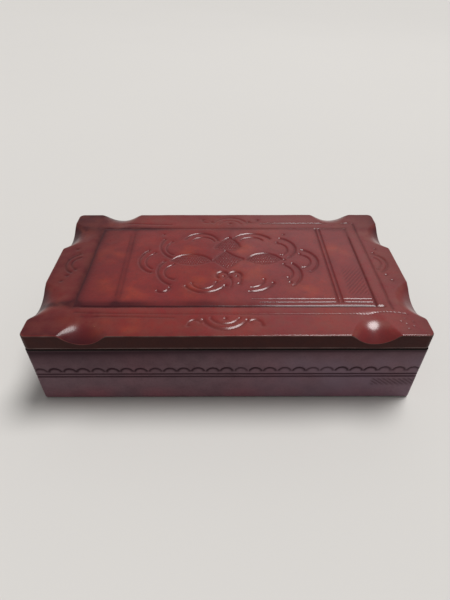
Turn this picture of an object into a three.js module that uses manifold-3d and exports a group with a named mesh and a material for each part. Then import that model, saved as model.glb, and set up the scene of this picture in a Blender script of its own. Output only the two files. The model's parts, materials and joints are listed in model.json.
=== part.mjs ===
// A tooled leather box with a hinged lid.
// A timber carcass is covered in leather, lined with cloth and stands on baize.
// The lid is one thick board with eight scoops gouged through its upper edge, and the
// leather is moulded down into them. Two brass butt hinges carry it at the back.
// Millimetres. X runs along the box, -Y is the front, +Z is up.
// The origin is the middle of the underside.

import * as THREE from "three";
import { mergeVertices } from "three/addons/utils/BufferGeometryUtils.js";
import Module from "manifold-3d";

const wasm = await Module();
wasm.setup();

// Overall size
const boxLength = 300;
const boxDepth = 177;
const boxHeight = 72;
const lidHeight = 14;
const lidOverhang = 0.4;

// Leather, timber, lining and the gaps between them
const leather = 1.2;
const turnedEdge = 1;
const glueLine = 0.3;
const wallBoard = 10;
const bottomBoard = 6;
const rebateDepth = 5;
const jointGap = 0.1;
const lining = 1.1;
const baize = 1;
const seamGap = 0.2;
const overrun = 1;

// Rounded corners and edges of the leather
const cornerRadius = 4;
const bodyCornerRadius = 2.6;
const lidEdgeRadius = 2;
const baseEdgeRadius = 1.1;
const rimEdgeRadius = 0.6;
const leastCornerShare = 0.2;

// Where the leather is turned in
const baseTurnIn = 14;
const lidTurnIn = 13;
const rimTurnDown = 8;

// Scoops in the lid's upper edge
const longScoopHalfLength = 18.2;
const longScoopReach = 20;
const longScoopDepth = 9.4;
const longScoopFromEnd = 43.5;
const shortScoopHalfLength = 21.5;
const shortScoopReach = 17;
const shortScoopDepth = 9.4;
const shortScoopFromMiddle = 48;
const scoopFallPower = 2;

// Back bevels, which meet and stop the lid
const hingeInset = 3;
const bevelAngle = 50;
const bevelClearance = 0.1;

// Butt hinges
const hingeLength = 32;
const hingeFromMiddle = 62;
const leafWidth = 7;
const leafThickness = 1.2;
const leafSetBack = 0.1;
const barrelRadius = 2;
const pinRadius = 0.85;
const pinClearance = 0.15;
const knuckleGap = 0.3;
const knuckleCount = 5;
const housingClearance = 0.3;
const screwCount = 3;
const screwShankRadius = 0.8;
const screwHeadRadius = 1.45;
const screwHeadHeight = 0.8;
const screwLength = 7;
const screwPointLength = 1.6;
const screwClearance = 0.25;
const screwFromEnd = 5;
const slotWidth = 0.5;
const slotDepth = 0.35;

// Heights worked out from the sizes above
const seam = boxHeight - lidHeight;
const rimTop = seam - seamGap / 2;
const lidBottom = seam + seamGap / 2;
const boardBase = baize + turnedEdge + glueLine;
const boardTop = rimTop - turnedEdge - glueLine;
const lidBoardBase = lidBottom + turnedEdge + glueLine;
const lidBoardTop = boxHeight - leather - glueLine;
const floorTop = boardBase + bottomBoard;

// Plan sizes worked out from the sizes above
const skin = leather + glueLine;
const bodyLength = boxLength - 2 * lidOverhang;
const bodyDepth = boxDepth - 2 * lidOverhang;
const carcassLength = bodyLength - 2 * skin;
const carcassDepth = bodyDepth - 2 * skin;
const lidBoardLength = boxLength - 2 * skin;
const lidBoardDepth = boxDepth - 2 * skin;
const innerLength = carcassLength - 2 * wallBoard;
const innerDepth = carcassDepth - 2 * wallBoard;
const boardCorner = bodyCornerRadius - skin;
const lidBoardCorner = cornerRadius - skin;
const rebateWidth = wallBoard / 2;

// The hinge axis runs along X at this place
const axisY = bodyDepth / 2 - hingeInset;
const axisZ = seam;

const finishes = {
  leather: { color: 0x6e3230, roughness: 0.35, metalness: 0 },
  timber: { color: 0xb98a5a, roughness: 0.7, metalness: 0 },
  baize: { color: 0x2f4a37, roughness: 0.95, metalness: 0 },
  brass: { color: 0xb08d4a, roughness: 0.35, metalness: 1 },
};

// Solids: a closed geometry goes in, and a geometry comes back

function solidOf(geometry) {
  const plain = geometry.index ? geometry.toNonIndexed() : geometry.clone();
  plain.deleteAttribute("normal");
  plain.deleteAttribute("uv");
  const merged = mergeVertices(plain);
  const vertProperties = new Float32Array(merged.attributes.position.array);
  const triVerts = new Uint32Array(merged.index.array);
  return new wasm.Manifold(new wasm.Mesh({ numProp: 3, vertProperties, triVerts }));
}

function geometryOf(solid) {
  const mesh = solid.getMesh();
  const geometry = new THREE.BufferGeometry();
  geometry.setAttribute("position", new THREE.BufferAttribute(new Float32Array(mesh.vertProperties), 3));
  geometry.setIndex(new THREE.BufferAttribute(new Uint32Array(mesh.triVerts), 1));
  return geometry;
}

function cut(solid, ...tools) {
  return tools.reduce((left, tool) => left.subtract(tool), solid);
}

function join(solid, ...others) {
  return others.reduce((left, other) => left.add(other), solid);
}

// A box between two corners
function block(low, high) {
  const size = high.map((value, axis) => value - low[axis]);
  const geometry = new THREE.BoxGeometry(...size);
  geometry.translate(...low.map((value, axis) => value + size[axis] / 2));
  return solidOf(geometry);
}

// The outline of a rectangle with rounded corners, centred on the origin
function roundedOutline(length, depth, radius) {
  const [x, y] = [length / 2, depth / 2];
  const shape = new THREE.Shape();
  shape.moveTo(x - radius, -y);
  shape.absarc(x - radius, radius - y, radius, -Math.PI / 2, 0);
  shape.absarc(x - radius, y - radius, radius, 0, Math.PI / 2);
  shape.absarc(radius - x, y - radius, radius, Math.PI / 2, Math.PI);
  shape.absarc(radius - x, radius - y, radius, Math.PI, (3 * Math.PI) / 2);
  return shape;
}

// A straight-sided plate with rounded corners, from height low to height high
function plate(length, depth, radius, low, high) {
  const outline = roundedOutline(length, depth, radius);
  const options = { depth: high - low, bevelEnabled: false, curveSegments: 5 };
  const geometry = new THREE.ExtrudeGeometry(outline, options);
  geometry.translate(0, 0, low);
  return solidOf(geometry);
}

// A plate whose top and bottom edges are rounded. Rings of the same outline are
// drawn in as they climb each quarter round, and two fans close the ends.
function softPlate(length, depth, corner, low, high, lowRound, highRound) {
  const steps = 4;
  const rings = [];
  for (let step = 0; step <= steps; step += 1) {
    const turn = (step / steps) * (Math.PI / 2);
    rings.push({ inset: lowRound * (1 - Math.sin(turn)), z: low + lowRound * (1 - Math.cos(turn)) });
  }
  for (let step = 0; step <= steps; step += 1) {
    const turn = (step / steps) * (Math.PI / 2);
    rings.push({ inset: highRound * (1 - Math.cos(turn)), z: high - highRound * (1 - Math.sin(turn)) });
  }
  const arcSteps = 6;
  const ringPoints = ({ inset, z }) => {
    const radius = Math.max(corner - inset, corner * leastCornerShare);
    const x = length / 2 - inset - radius;
    const y = depth / 2 - inset - radius;
    const centres = [[x, -y], [x, y], [-x, y], [-x, -y]];
    return centres.flatMap(([centreX, centreY], quarter) =>
      Array.from({ length: arcSteps + 1 }, (_, step) => {
        const turn = ((quarter - 1) + step / arcSteps) * (Math.PI / 2);
        return [centreX + radius * Math.cos(turn), centreY + radius * Math.sin(turn), z];
      }));
  };
  const points = rings.flatMap(ringPoints);
  const count = 4 * (arcSteps + 1);
  const faces = [];
  for (let ring = 0; ring + 1 < rings.length; ring += 1) {
    for (let step = 0; step < count; step += 1) {
      const a = ring * count + step;
      const b = ring * count + ((step + 1) % count);
      faces.push(a, b, b + count, a, b + count, a + count);
    }
  }
  points.push([0, 0, low], [0, 0, high]);
  const lowCentre = rings.length * count;
  const last = lowCentre - count;
  for (let step = 0; step < count; step += 1) {
    const next = (step + 1) % count;
    faces.push(lowCentre, next, step);
    faces.push(lowCentre + 1, last + step, last + next);
  }
  const geometry = new THREE.BufferGeometry();
  geometry.setAttribute("position", new THREE.Float32BufferAttribute(points.flat(), 3));
  geometry.setIndex(faces);
  return solidOf(geometry);
}

// A round bar along X
function barAlongX(radius, from, to, y, z, sides = 20) {
  const geometry = new THREE.CylinderGeometry(radius, radius, to - from, sides);
  geometry.rotateZ(Math.PI / 2);
  geometry.translate((from + to) / 2, y, z);
  return solidOf(geometry);
}

// The wedge taken off the back edge at the seam. It starts at the hinge axis and opens
// towards the back, downwards for the body (side -1) and upwards for the lid (side 1).
// grow moves its sloping face further into the solid.
function backBevel(side, grow) {
  const slope = THREE.MathUtils.degToRad(bevelAngle);
  const reach = hingeInset + lidOverhang + overrun;
  const shift = (bevelClearance + grow) / Math.sin(slope);
  const drop = (reach + shift) * Math.tan(slope);
  const wedge = new THREE.Shape();
  wedge.moveTo(-shift, 0);
  wedge.lineTo(reach, side * drop);
  wedge.lineTo(reach, -side * lidHeight);
  wedge.lineTo(-shift, -side * lidHeight);
  wedge.closePath();
  const length = boxLength + 2 * overrun;
  const geometry = new THREE.ExtrudeGeometry(wedge, { depth: length, bevelEnabled: false });
  geometry.rotateX(Math.PI / 2);
  geometry.rotateZ(Math.PI / 2);
  geometry.translate(-length / 2, axisY, axisZ);
  return solidOf(geometry);
}

// The tool for one scoop: a round gouge, pushed out and down over the lid's edge. Across
// the cut it is an arc. The arc's lowest point falls towards the edge by the depth times
// (1 - inward / reach) to the power of the fall. grow moves the cut face along its normals,
// so that leather and board nest. place turns (along, inward) into (x, y).
function gouge(halfLength, reach, depth, grow, place) {
  const radius = (halfLength * halfLength + depth * depth) / (2 * depth);
  const widest = Math.asin(halfLength / radius) * 1.3;
  const from = -2 * (overrun + grow);
  const to = reach * 1.3;
  const [alongSteps, inwardSteps] = [16, 9];
  const cutFace = [];
  for (let step = 0; step <= inwardSteps; step += 1) {
    const inward = from + (step / inwardSteps) * (to - from);
    const left = 1 - inward / reach;
    const fall = depth * Math.sign(left) * Math.abs(left) ** scoopFallPower;
    const slope = ((scoopFallPower * depth) / reach) * Math.abs(left) ** (scoopFallPower - 1);
    for (let turn = 0; turn <= alongSteps; turn += 1) {
      const angle = ((2 * turn) / alongSteps - 1) * widest;
      const normal = new THREE.Vector3(-Math.tan(angle), -slope, 1).normalize();
      const height = radius * (1 - Math.cos(angle)) - fall;
      const point = new THREE.Vector3(radius * Math.sin(angle), inward, height);
      cutFace.push(point.addScaledVector(normal, -grow));
    }
  }
  const above = Math.max(...cutFace.map((point) => point.z)) + overrun;
  const points = [...cutFace, ...cutFace.map((point) => new THREE.Vector3(point.x, point.y, above))];
  const columns = alongSteps + 1;
  const count = cutFace.length;
  const faces = [];
  const quad = (a, b, c, d) => faces.push([a, b, c], [a, c, d]);
  for (let step = 0; step < inwardSteps; step += 1) {
    for (let turn = 0; turn < alongSteps; turn += 1) {
      const a = step * columns + turn;
      quad(a, a + columns, a + columns + 1, a + 1);
      quad(a + count, a + count + 1, a + count + columns + 1, a + count + columns);
    }
    const [start, end] = [step * columns, step * columns + alongSteps];
    quad(start, start + count, start + count + columns, start + columns);
    quad(end, end + columns, end + columns + count, end + count);
  }
  for (let turn = 0; turn < alongSteps; turn += 1) {
    const last = inwardSteps * columns + turn;
    quad(turn, turn + 1, turn + 1 + count, turn + count);
    quad(last, last + count, last + 1 + count, last + 1);
  }
  const [origin, alongOne, inwardOne] = [place(0, 0), place(1, 0), place(0, 1)];
  const [alongX, alongY] = alongOne.map((value, axis) => value - origin[axis]);
  const [inwardX, inwardY] = inwardOne.map((value, axis) => value - origin[axis]);
  const turned = alongX * inwardY - alongY * inwardX;
  const order = turned > 0 ? faces : faces.map(([a, b, c]) => [a, c, b]);
  const placed = points.flatMap(({ x, y, z }) => [...place(x, y), boxHeight + z]);
  const geometry = new THREE.BufferGeometry();
  geometry.setAttribute("position", new THREE.Float32BufferAttribute(placed, 3));
  geometry.setIndex(order.flat());
  return solidOf(geometry);
}

// The eight scoops, two in each side of the lid
function scoops(grow) {
  const longX = boxLength / 2 - longScoopFromEnd;
  const tools = [];
  for (const sideX of [-1, 1]) {
    for (const sideY of [-1, 1]) {
      const alongFront = (along, inward) => [sideX * longX + along, sideY * (boxDepth / 2 - inward)];
      tools.push(gouge(longScoopHalfLength, longScoopReach, longScoopDepth, grow, alongFront));
      const endY = sideY * shortScoopFromMiddle;
      const alongEnd = (along, inward) => [sideX * (boxLength / 2 - inward), endY + along];
      tools.push(gouge(shortScoopHalfLength, shortScoopReach, shortScoopDepth, grow, alongEnd));
    }
  }
  return tools;
}

// Hinges

const hingePlaces = { left: -hingeFromMiddle, right: hingeFromMiddle };
const leafSpan = { box: [-1, axisZ - leafSetBack - leafThickness], lid: [1, axisZ + leafSetBack] };

function knuckles(middle) {
  const pitch = hingeLength / knuckleCount;
  return Array.from({ length: knuckleCount }, (_, index) => {
    const from = middle - hingeLength / 2 + index * pitch;
    const low = index === 0 ? 0 : knuckleGap / 2;
    const high = index === knuckleCount - 1 ? 0 : knuckleGap / 2;
    return { from: from + low, to: from + pitch - high, owner: index % 2 === 0 ? "box" : "lid" };
  });
}

const leafInner = axisY - leafWidth;
const screwLine = leafInner + (leafWidth - barrelRadius) / 2;

function screwPlaces(middle) {
  const first = middle - hingeLength / 2 + screwFromEnd;
  const pitch = (hingeLength - 2 * screwFromEnd) / (screwCount - 1);
  return Array.from({ length: screwCount }, (_, index) => first + index * pitch);
}

// The outline of a countersunk screw, turned about its own axis. Its head is at height
// zero and it points down. grow makes the hole that it sits in.
function screwTurned(grow, length) {
  const outline = [
    [0, 0],
    [screwHeadRadius + grow, 0],
    [screwShankRadius + grow, -screwHeadHeight],
    [screwShankRadius + grow, screwPointLength - length],
    [0, -length],
  ];
  const points = outline.map(([radius, z]) => new THREE.Vector2(radius, z)).reverse();
  const geometry = new THREE.LatheGeometry(points, 12);
  geometry.rotateX(Math.PI / 2);
  return geometry;
}

// Places a turned screw in a leaf of the body (pointing down) or of the lid (pointing up)
function screwAt(geometry, x, owner) {
  const placed = geometry.clone();
  if (owner === "lid") placed.rotateX(Math.PI);
  const face = owner === "box" ? axisZ - leafSetBack : axisZ + leafSetBack;
  placed.translate(x, screwLine, face);
  return solidOf(placed);
}

// One slotted screw for each place in a leaf
function screws(middle, owner) {
  const side = owner === "box" ? 1 : -1;
  const face = axisZ - side * leafSetBack;
  const low = Math.min(face + side * overrun, face - side * slotDepth);
  const high = Math.max(face + side * overrun, face - side * slotDepth);
  const reach = screwHeadRadius + overrun;
  return screwPlaces(middle).map((x) => {
    const [near, far] = [screwLine - slotWidth / 2, screwLine + slotWidth / 2];
    const slot = block([x - reach, near, low], [x + reach, far, high]);
    return cut(screwAt(screwTurned(0, screwLength), x, owner), slot);
  });
}

function screwHoles(middle, owner) {
  const hole = screwTurned(screwClearance, screwLength + screwClearance);
  return screwPlaces(middle).map((x) => screwAt(hole, x, owner));
}

function hingeLeaf(middle, owner) {
  const low = leafSpan[owner][1];
  const [from, to] = [middle - hingeLength / 2, middle + hingeLength / 2];
  let leaf = block([from, leafInner, low], [to, axisY, low + leafThickness]);
  for (const { from: start, to: end, owner: name } of knuckles(middle)) {
    if (name === owner) {
      leaf = join(leaf, barAlongX(barrelRadius, start, end, axisY, axisZ));
    } else {
      const clear = barrelRadius + knuckleGap;
      leaf = cut(leaf, barAlongX(clear, start - knuckleGap, end + knuckleGap, axisY, axisZ));
    }
  }
  const bore = barAlongX(pinRadius + pinClearance, from - overrun, to + overrun, axisY, axisZ);
  return cut(leaf, bore, ...screwHoles(middle, owner));
}

function hingePin(middle) {
  return barAlongX(pinRadius, middle - hingeLength / 2, middle + hingeLength / 2, axisY, axisZ);
}

// The housing for one leaf and for the whole barrel, cut from rim or lid
function hingeHousing(middle, owner) {
  const low = leafSpan[owner][1];
  const half = hingeLength / 2 + housingClearance;
  const [from, to] = [middle - half, middle + half];
  const bottom = owner === "box" ? low - jointGap : low - overrun;
  const top = owner === "box" ? low + leafThickness + overrun : low + leafThickness + jointGap;
  const leafRoom = block([from, leafInner - housingClearance, bottom], [to, axisY, top]);
  const barrelRoom = barAlongX(barrelRadius + housingClearance, from, to, axisY, axisZ);
  return [leafRoom, barrelRoom];
}

function housings(owner) {
  return Object.values(hingePlaces).flatMap((middle) => [
    ...hingeHousing(middle, owner),
    ...screwHoles(middle, owner),
  ]);
}

// Carcass

const [halfX, halfY] = [carcassLength / 2, carcassDepth / 2];
const floorSeat = rebateDepth;

function rebatedFloor() {
  const x = innerLength / 2 + floorSeat;
  const y = innerDepth / 2 + floorSeat;
  return block([-x, -y, boardBase - overrun], [x, y, floorTop + jointGap]);
}

// The outer surface of the carcass: rounded upright corners and a bevelled back edge
function carcassEnvelope(grow) {
  const corner = boardCorner + grow;
  const [length, depth] = [carcassLength + 2 * grow, carcassDepth + 2 * grow];
  const body = plate(length, depth, corner, boardBase - grow, boardTop + grow);
  return cut(body, backBevel(-1, skin - grow));
}

// The front or back board runs the full length, rebated at its ends for the side boards
function longBoard(side) {
  const inner = halfY - wallBoard;
  const room = side < 0
    ? block([-halfX - overrun, -halfY - overrun, 0], [halfX + overrun, -inner, boxHeight])
    : block([-halfX - overrun, inner, 0], [halfX + overrun, halfY + overrun, boxHeight]);
  const board = carcassEnvelope(0).intersect(room);
  const rebates = [-1, 1].map((end) => {
    const from = halfX - wallBoard - jointGap;
    const to = halfX + overrun;
    const [x0, x1] = end < 0 ? [-to, -from] : [from, to];
    const seat = inner + rebateWidth + jointGap;
    const [y0, y1] = side < 0 ? [-seat, overrun - inner] : [inner - overrun, seat];
    return block([x0, y0, 0], [x1, y1, boxHeight]);
  });
  return cut(board, ...rebates, rebatedFloor());
}

// The side boards fit between the rebates
function sideBoard(side) {
  const reach = halfY - wallBoard + rebateWidth;
  const [x0, x1] = side < 0 ? [-halfX, -halfX + wallBoard] : [halfX - wallBoard, halfX];
  const board = block([x0, -reach, boardBase], [x1, reach, boardTop]);
  return cut(board, rebatedFloor());
}

function bottomPanel() {
  const x = innerLength / 2 + floorSeat - jointGap;
  const y = innerDepth / 2 + floorSeat - jointGap;
  return block([-x, -y, boardBase], [x, y, floorTop]);
}

// The body's leather is one skin: round the walls, over the rim and down inside it, and
// turned in under the base
function bodyLeather() {
  const rounds = [baseEdgeRadius, rimEdgeRadius];
  const outer = softPlate(bodyLength, bodyDepth, bodyCornerRadius, baize, rimTop, ...rounds);
  const timberRoom = carcassEnvelope(glueLine);
  const innerX = innerLength / 2 - glueLine;
  const innerY = innerDepth / 2 - glueLine;
  const baseX = bodyLength / 2 - baseTurnIn;
  const baseY = bodyDepth / 2 - baseTurnIn;
  const mouth = block([-innerX, -innerY, boardBase], [innerX, innerY, rimTop + overrun]);
  const underside = block([-baseX, -baseY, -overrun], [baseX, baseY, boardBase + overrun]);
  const turnLow = rimTop - rimTurnDown;
  const turned = block([-innerX, -innerY, turnLow], [innerX, innerY, rimTop]);
  const hollow = block(
    [turnedEdge - innerX, turnedEdge - innerY, turnLow - overrun],
    [innerX - turnedEdge, innerY - turnedEdge, rimTop + overrun],
  );
  const skinned = cut(outer, backBevel(-1, 0), timberRoom, mouth, underside);
  return cut(join(skinned, cut(turned, hollow)), ...housings("box"));
}

function liningWalls() {
  const low = floorTop + glueLine + lining + glueLine;
  const high = rimTop - rimTurnDown - glueLine;
  const outX = innerLength / 2 - glueLine;
  const outY = innerDepth / 2 - glueLine;
  const inX = outX - lining;
  const inY = outY - lining;
  return {
    lining_front: block([-outX, -outY, low], [outX, -inY, high]),
    lining_back: block([-outX, inY, low], [outX, outY, high]),
    lining_left: block([-outX, glueLine - inY, low], [-inX, inY - glueLine, high]),
    lining_right: block([inX, glueLine - inY, low], [outX, inY - glueLine, high]),
  };
}

function liningFloor() {
  const x = innerLength / 2 - glueLine;
  const y = innerDepth / 2 - glueLine;
  return block([-x, -y, floorTop + glueLine], [x, y, floorTop + glueLine + lining]);
}

function baseCover() {
  const inset = baseEdgeRadius;
  return plate(bodyLength - 2 * inset, bodyDepth - 2 * inset, bodyCornerRadius, 0, baize);
}

// Lid

function lidEnvelope(grow) {
  const corner = lidBoardCorner + grow;
  const round = lidEdgeRadius - skin + grow;
  const length = lidBoardLength + 2 * grow;
  const depth = lidBoardDepth + 2 * grow;
  const body = softPlate(length, depth, corner, lidBoardBase - grow, lidBoardTop + grow, grow / 2, round);
  return cut(body, backBevel(1, skin - grow), ...scoops(skin - grow));
}

function lidBoard() {
  return cut(lidEnvelope(0), ...housings("lid"));
}

// The lid's leather is moulded over the board and into the scoops and turned in below
function lidLeather() {
  const rounds = [rimEdgeRadius, lidEdgeRadius];
  const outer = softPlate(boxLength, boxDepth, cornerRadius, lidBottom, boxHeight, ...rounds);
  const x = boxLength / 2 - lidTurnIn;
  const y = boxDepth / 2 - lidTurnIn;
  const underside = block([-x, -y, lidBottom - overrun], [x, y, lidBoardBase]);
  return cut(outer, backBevel(1, 0), ...scoops(0), lidEnvelope(glueLine), underside, ...housings("lid"));
}

function lidLining() {
  const x = boxLength / 2 - lidTurnIn - glueLine;
  const y = boxDepth / 2 - lidTurnIn - glueLine;
  return block([-x, -y, lidBottom + seamGap], [x, y, lidBoardBase - jointGap]);
}

// Assembly

const box = new THREE.Group();

function place(name, solid, finish) {
  const material = new THREE.MeshStandardMaterial(finishes[finish]);
  const mesh = new THREE.Mesh(geometryOf(solid), material);
  mesh.name = name;
  box.add(mesh);
}

place("front_board", longBoard(-1), "timber");
place("back_board", cut(longBoard(1), ...housings("box")), "timber");
place("left_board", sideBoard(-1), "timber");
place("right_board", sideBoard(1), "timber");
place("bottom_panel", bottomPanel(), "timber");
place("body_leather", bodyLeather(), "leather");
place("base_cover", baseCover(), "baize");
place("lining_floor", liningFloor(), "baize");
for (const [name, solid] of Object.entries(liningWalls())) place(name, solid, "baize");

place("lid_board", lidBoard(), "timber");
place("lid_leather", lidLeather(), "leather");
place("lid_lining", lidLining(), "baize");

for (const [name, middle] of Object.entries(hingePlaces)) {
  for (const owner of ["box", "lid"]) {
    place(`hinge_${name}_${owner}_leaf`, hingeLeaf(middle, owner), "brass");
    screws(middle, owner).forEach((screw, index) => {
      place(`hinge_${name}_${owner}_screw_${index + 1}`, screw, "brass");
    });
  }
  place(`hinge_${name}_pin`, hingePin(middle), "brass");
}

export default box;
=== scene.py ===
"""A tooled leather box with a hinged lid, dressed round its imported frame.

The box is a timber carcass under oxblood leather, lined with green baize, with eight
scoops gouged through the upper edge of its lid. Lengths are millimetres, apart from those
of the stage, of the properties and of Blender's own data, which are metres.
"""

import functools
import json
import math

import bpy
import numpy as np
from mathutils import Matrix, Vector


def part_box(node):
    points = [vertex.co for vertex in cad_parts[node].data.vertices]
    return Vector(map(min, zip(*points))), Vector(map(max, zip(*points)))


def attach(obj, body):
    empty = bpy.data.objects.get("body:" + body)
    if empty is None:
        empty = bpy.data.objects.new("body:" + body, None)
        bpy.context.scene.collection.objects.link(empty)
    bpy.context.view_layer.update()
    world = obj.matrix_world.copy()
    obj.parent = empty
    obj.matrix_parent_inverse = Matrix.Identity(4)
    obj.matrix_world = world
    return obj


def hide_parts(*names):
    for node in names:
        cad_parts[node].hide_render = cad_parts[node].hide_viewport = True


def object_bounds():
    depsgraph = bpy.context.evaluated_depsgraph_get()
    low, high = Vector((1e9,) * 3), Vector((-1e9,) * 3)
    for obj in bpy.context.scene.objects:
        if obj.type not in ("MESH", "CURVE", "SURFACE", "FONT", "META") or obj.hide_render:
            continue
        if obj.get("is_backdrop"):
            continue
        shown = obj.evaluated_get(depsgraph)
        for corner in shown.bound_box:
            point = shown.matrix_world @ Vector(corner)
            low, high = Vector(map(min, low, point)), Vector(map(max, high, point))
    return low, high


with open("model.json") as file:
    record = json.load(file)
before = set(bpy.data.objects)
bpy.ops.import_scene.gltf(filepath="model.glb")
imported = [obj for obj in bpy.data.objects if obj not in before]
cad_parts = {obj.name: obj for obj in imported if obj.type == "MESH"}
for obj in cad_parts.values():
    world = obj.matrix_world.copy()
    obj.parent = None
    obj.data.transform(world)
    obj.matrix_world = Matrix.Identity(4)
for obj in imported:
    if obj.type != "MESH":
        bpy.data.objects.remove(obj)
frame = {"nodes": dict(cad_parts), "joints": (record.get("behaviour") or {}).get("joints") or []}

bl_info = {
    "name": "Tooled Leather Box",
    "version": (1, 0, 0),
    "blender": (4, 5, 0),
    "location": "View3D > Sidebar > Leather Box",
    "description": "Dresses the frame of a hinged box in tooled leather, baize, timber and brass",
    "category": "Object",
}

MM = 0.001
CAD_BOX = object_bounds()


# Places taken from the frame

def box_of(node):
    """The lowest and the highest corner of a node."""
    return [np.array(corner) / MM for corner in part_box(node)]


BODY_LOW, BODY_HIGH = box_of("body_leather")
LID_LOW, LID_HIGH = box_of("lid_leather")
LEAF_LOW, LEAF_HIGH = box_of("hinge_right_box_leaf")
HINGE = next(joint for joint in frame["joints"] if joint["name"] == "lid_hinge")
AXIS_Y, AXIS_Z = (value / MM for value in HINGE["pos_m"][1:])
HINGE_MIDDLE = (LEAF_LOW[0] + LEAF_HIGH[0]) / 2
HINGE_HALF = (LEAF_HIGH[0] - LEAF_LOW[0]) / 2

# Room for the hinges, and the bevels that stop the lid
BEVEL = math.radians(50)
BEVEL_GAP = 0.12
HOUSING_GAP = 0.33
HOUSING_HALF = HINGE_HALF + HOUSING_GAP
HOUSING_WALLS = [side * (HINGE_MIDDLE + end * HOUSING_HALF) for side in (1, -1) for end in (1, -1)]
LEAF_DEPTH = 1.3
BARREL_ROOM = 2.12
OUTER_EASE, INNER_EASE = 0.04, 0.09
WALL_GAP = 0.06


def housing_rows(high):
    """Depths, in from the back, of two rows that stand close together at a housing's front."""
    line = high[1] - LEAF_LOW[1] + HOUSING_GAP
    return [line - WALL_GAP / 2, line + WALL_GAP / 2]


# Steps of the grids, and how the leather's edges are turned
LID_STEP, BODY_STEP, CLOTH_STEP = 0.9, 0.92, 3
CLOTH_ROUND = 0.9
MIDDLE_COLUMNS, MIDDLE_ROWS, BORDER_ROWS = 421, 203, 42
SHARP = math.radians(62)
TURNED_SKIN = 1.0
MIDDLE_SEAT = 0.1
LOWER_ROUND = 1.1
LID_TURN_IN = 13
LID_DEPTHS = (2, 4.5, 7.5)
CUT_ROUND, CUT_HIGH = 0.25, 0.8
SIDE_SHARES = np.array([0.14, 0.28, 0.42, 0.56, 0.7, 0.82, 0.9, 0.95, 1])
GREY_LINE_SHARE = 0.95
RIM_WIDTH, RIM_ROUND, RIM_TURN = 12.8, 1.0, 8
RIM_DEPTHS = (8.4, 6, 4.4, 3.4, 2.6, 1.8)
BASE_ROUND, BASE_TURN_IN = 1.1, 14
BASE_SHARES = np.array([0.3, 0.65, 0.98])

# The tooled band round the walls
BAND_HIGH, BAND_LOW, PLAIN_LOW = 39.4, 25.4, 13
SCALLOP_PITCH = 11.1
SCALLOP_TOP = 37.1
SCALLOP_RISE = 3.2
SCALLOP_SPAN = 0.41
SCALLOP_CLIMB = 0.0055
SCALLOP_SEED = 40
SCALLOP_SHIFT, SCALLOP_LIFT, SCALLOP_FORCE = (-0.4, 0.4), (-0.3, 0.3), (0.65, 0.95)
TRAM_LINES = (30.1, 27.0)
HATCH_PITCH = 2.6
WALL_HATCH_X, WALL_HATCH_Z = 112, (15, 25.5)

# Random waves: seed, and shortest and longest wave
SLOW_WAVES, QUICK_WAVES, WALL_WAVES = (3, (22, 60)), (8, (7, 15)), (5, (26, 70))
SMEAR_WAVES, PATCH_WAVES, SHEEN_WAVES = (21, (30, 90)), (12, (9, 26)), (23, (20, 60))
FOOT_WAVES, CLOTH_WAVES = (17, (30, 80)), (31, (18, 50))

# Stage, in metres
FLOOR_REACH = 30
KEY_FROM = (0.30, 0.22, 0.93)
KEY_SPREAD = math.radians(26)
PANEL_FROM = (0.60, 1.38, 1.2)
PANEL_SIZE = (1.25, 0.8)
SENSOR = 36


# Sizes and colours that a user would change

def linear(hex_colour):
    """Turns one sRGB hex colour into a linear RGBA tuple."""
    channels = [int(hex_colour[i:i + 2], 16) / 255 for i in (1, 3, 5)]
    curve = [c / 12.92 if c <= 0.04045 else ((c + 0.055) / 1.055) ** 2.4 for c in channels]
    return (*curve, 1.0)


def colour_property(name, description, hex_colour):
    """A colour, given by its sRGB hex value."""
    return bpy.props.FloatVectorProperty(
        name=name, description=description, subtype="COLOR", size=4, min=0, max=1, default=linear(hex_colour)
    )


def length_property(name, description, millimetres):
    """A length, given in millimetres and held in metres."""
    return bpy.props.FloatProperty(
        name=name, description=description, unit="LENGTH", default=millimetres * MM, min=0, precision=5
    )


def angle_property(name, description, degrees):
    """An angle, given in degrees and held in radians."""
    return bpy.props.FloatProperty(
        name=name, description=description, subtype="ANGLE", default=math.radians(degrees)
    )


def light_property(name, description, power):
    """The power or strength of a light."""
    return bpy.props.FloatProperty(name=name, description=description, default=power, min=0)


class LeatherBoxSizes(bpy.types.PropertyGroup):
    """Sizes of the leather and of its tooling."""

    leather: length_property("Leather", "Thickness of the leather on the outside", 1.2)
    lid_edge: length_property("Lid edge", "Radius of the lid's upper edge", 1.4)
    corner: length_property("Lid corner", "Radius of the lid's upright corners", 5.0)
    body_corner: length_property("Body corner", "Radius of the body's upright corners", 2.6)
    shoulder: length_property("Shoulder", "How softly the leather rolls over into a scoop", 3.4)
    groove: length_property("Groove depth", "Depth of a boldly tooled line", 0.9)
    ripple: length_property("Ripple", "Height of the slow waves in the leather's surface", 0.1)


class LeatherBoxColours(bpy.types.PropertyGroup):
    """Colours of the leather, brass, timber and baize."""

    oxblood: colour_property("Oxblood", "Main dye of the lid", "#73181C")
    russet: colour_property("Russet", "Patches where the dye took thinly", "#90301C")
    # Over the lid's left end this colour also lays painted shade
    patina: colour_property("Patina", "Antique dye left in the tooling and at the frame", "#3A1218")
    edge: colour_property("Edge", "Burnished dye on the lid's edge", "#391A18")
    body: colour_property("Body", "Dye of the body's walls", "#75595F")
    # Along the walls' foot this colour is lighter dye and painted light
    body_thin: colour_property("Body, thin dye", "Patches of the walls where the dye took thinly", "#8C545B")
    # Under the lid this colour also lays painted shade
    body_patina: colour_property("Body, patina", "Antique dye left in the band and under the lid", "#331B23")
    brass: colour_property("Brass", "Aged brass of the hinges", "#A98442")
    cedar: colour_property("Cedar", "Bare timber under the leather", "#B98A5A")
    baize: colour_property("Baize", "Wool cloth of the lining and the base", "#2C4A36")


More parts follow.
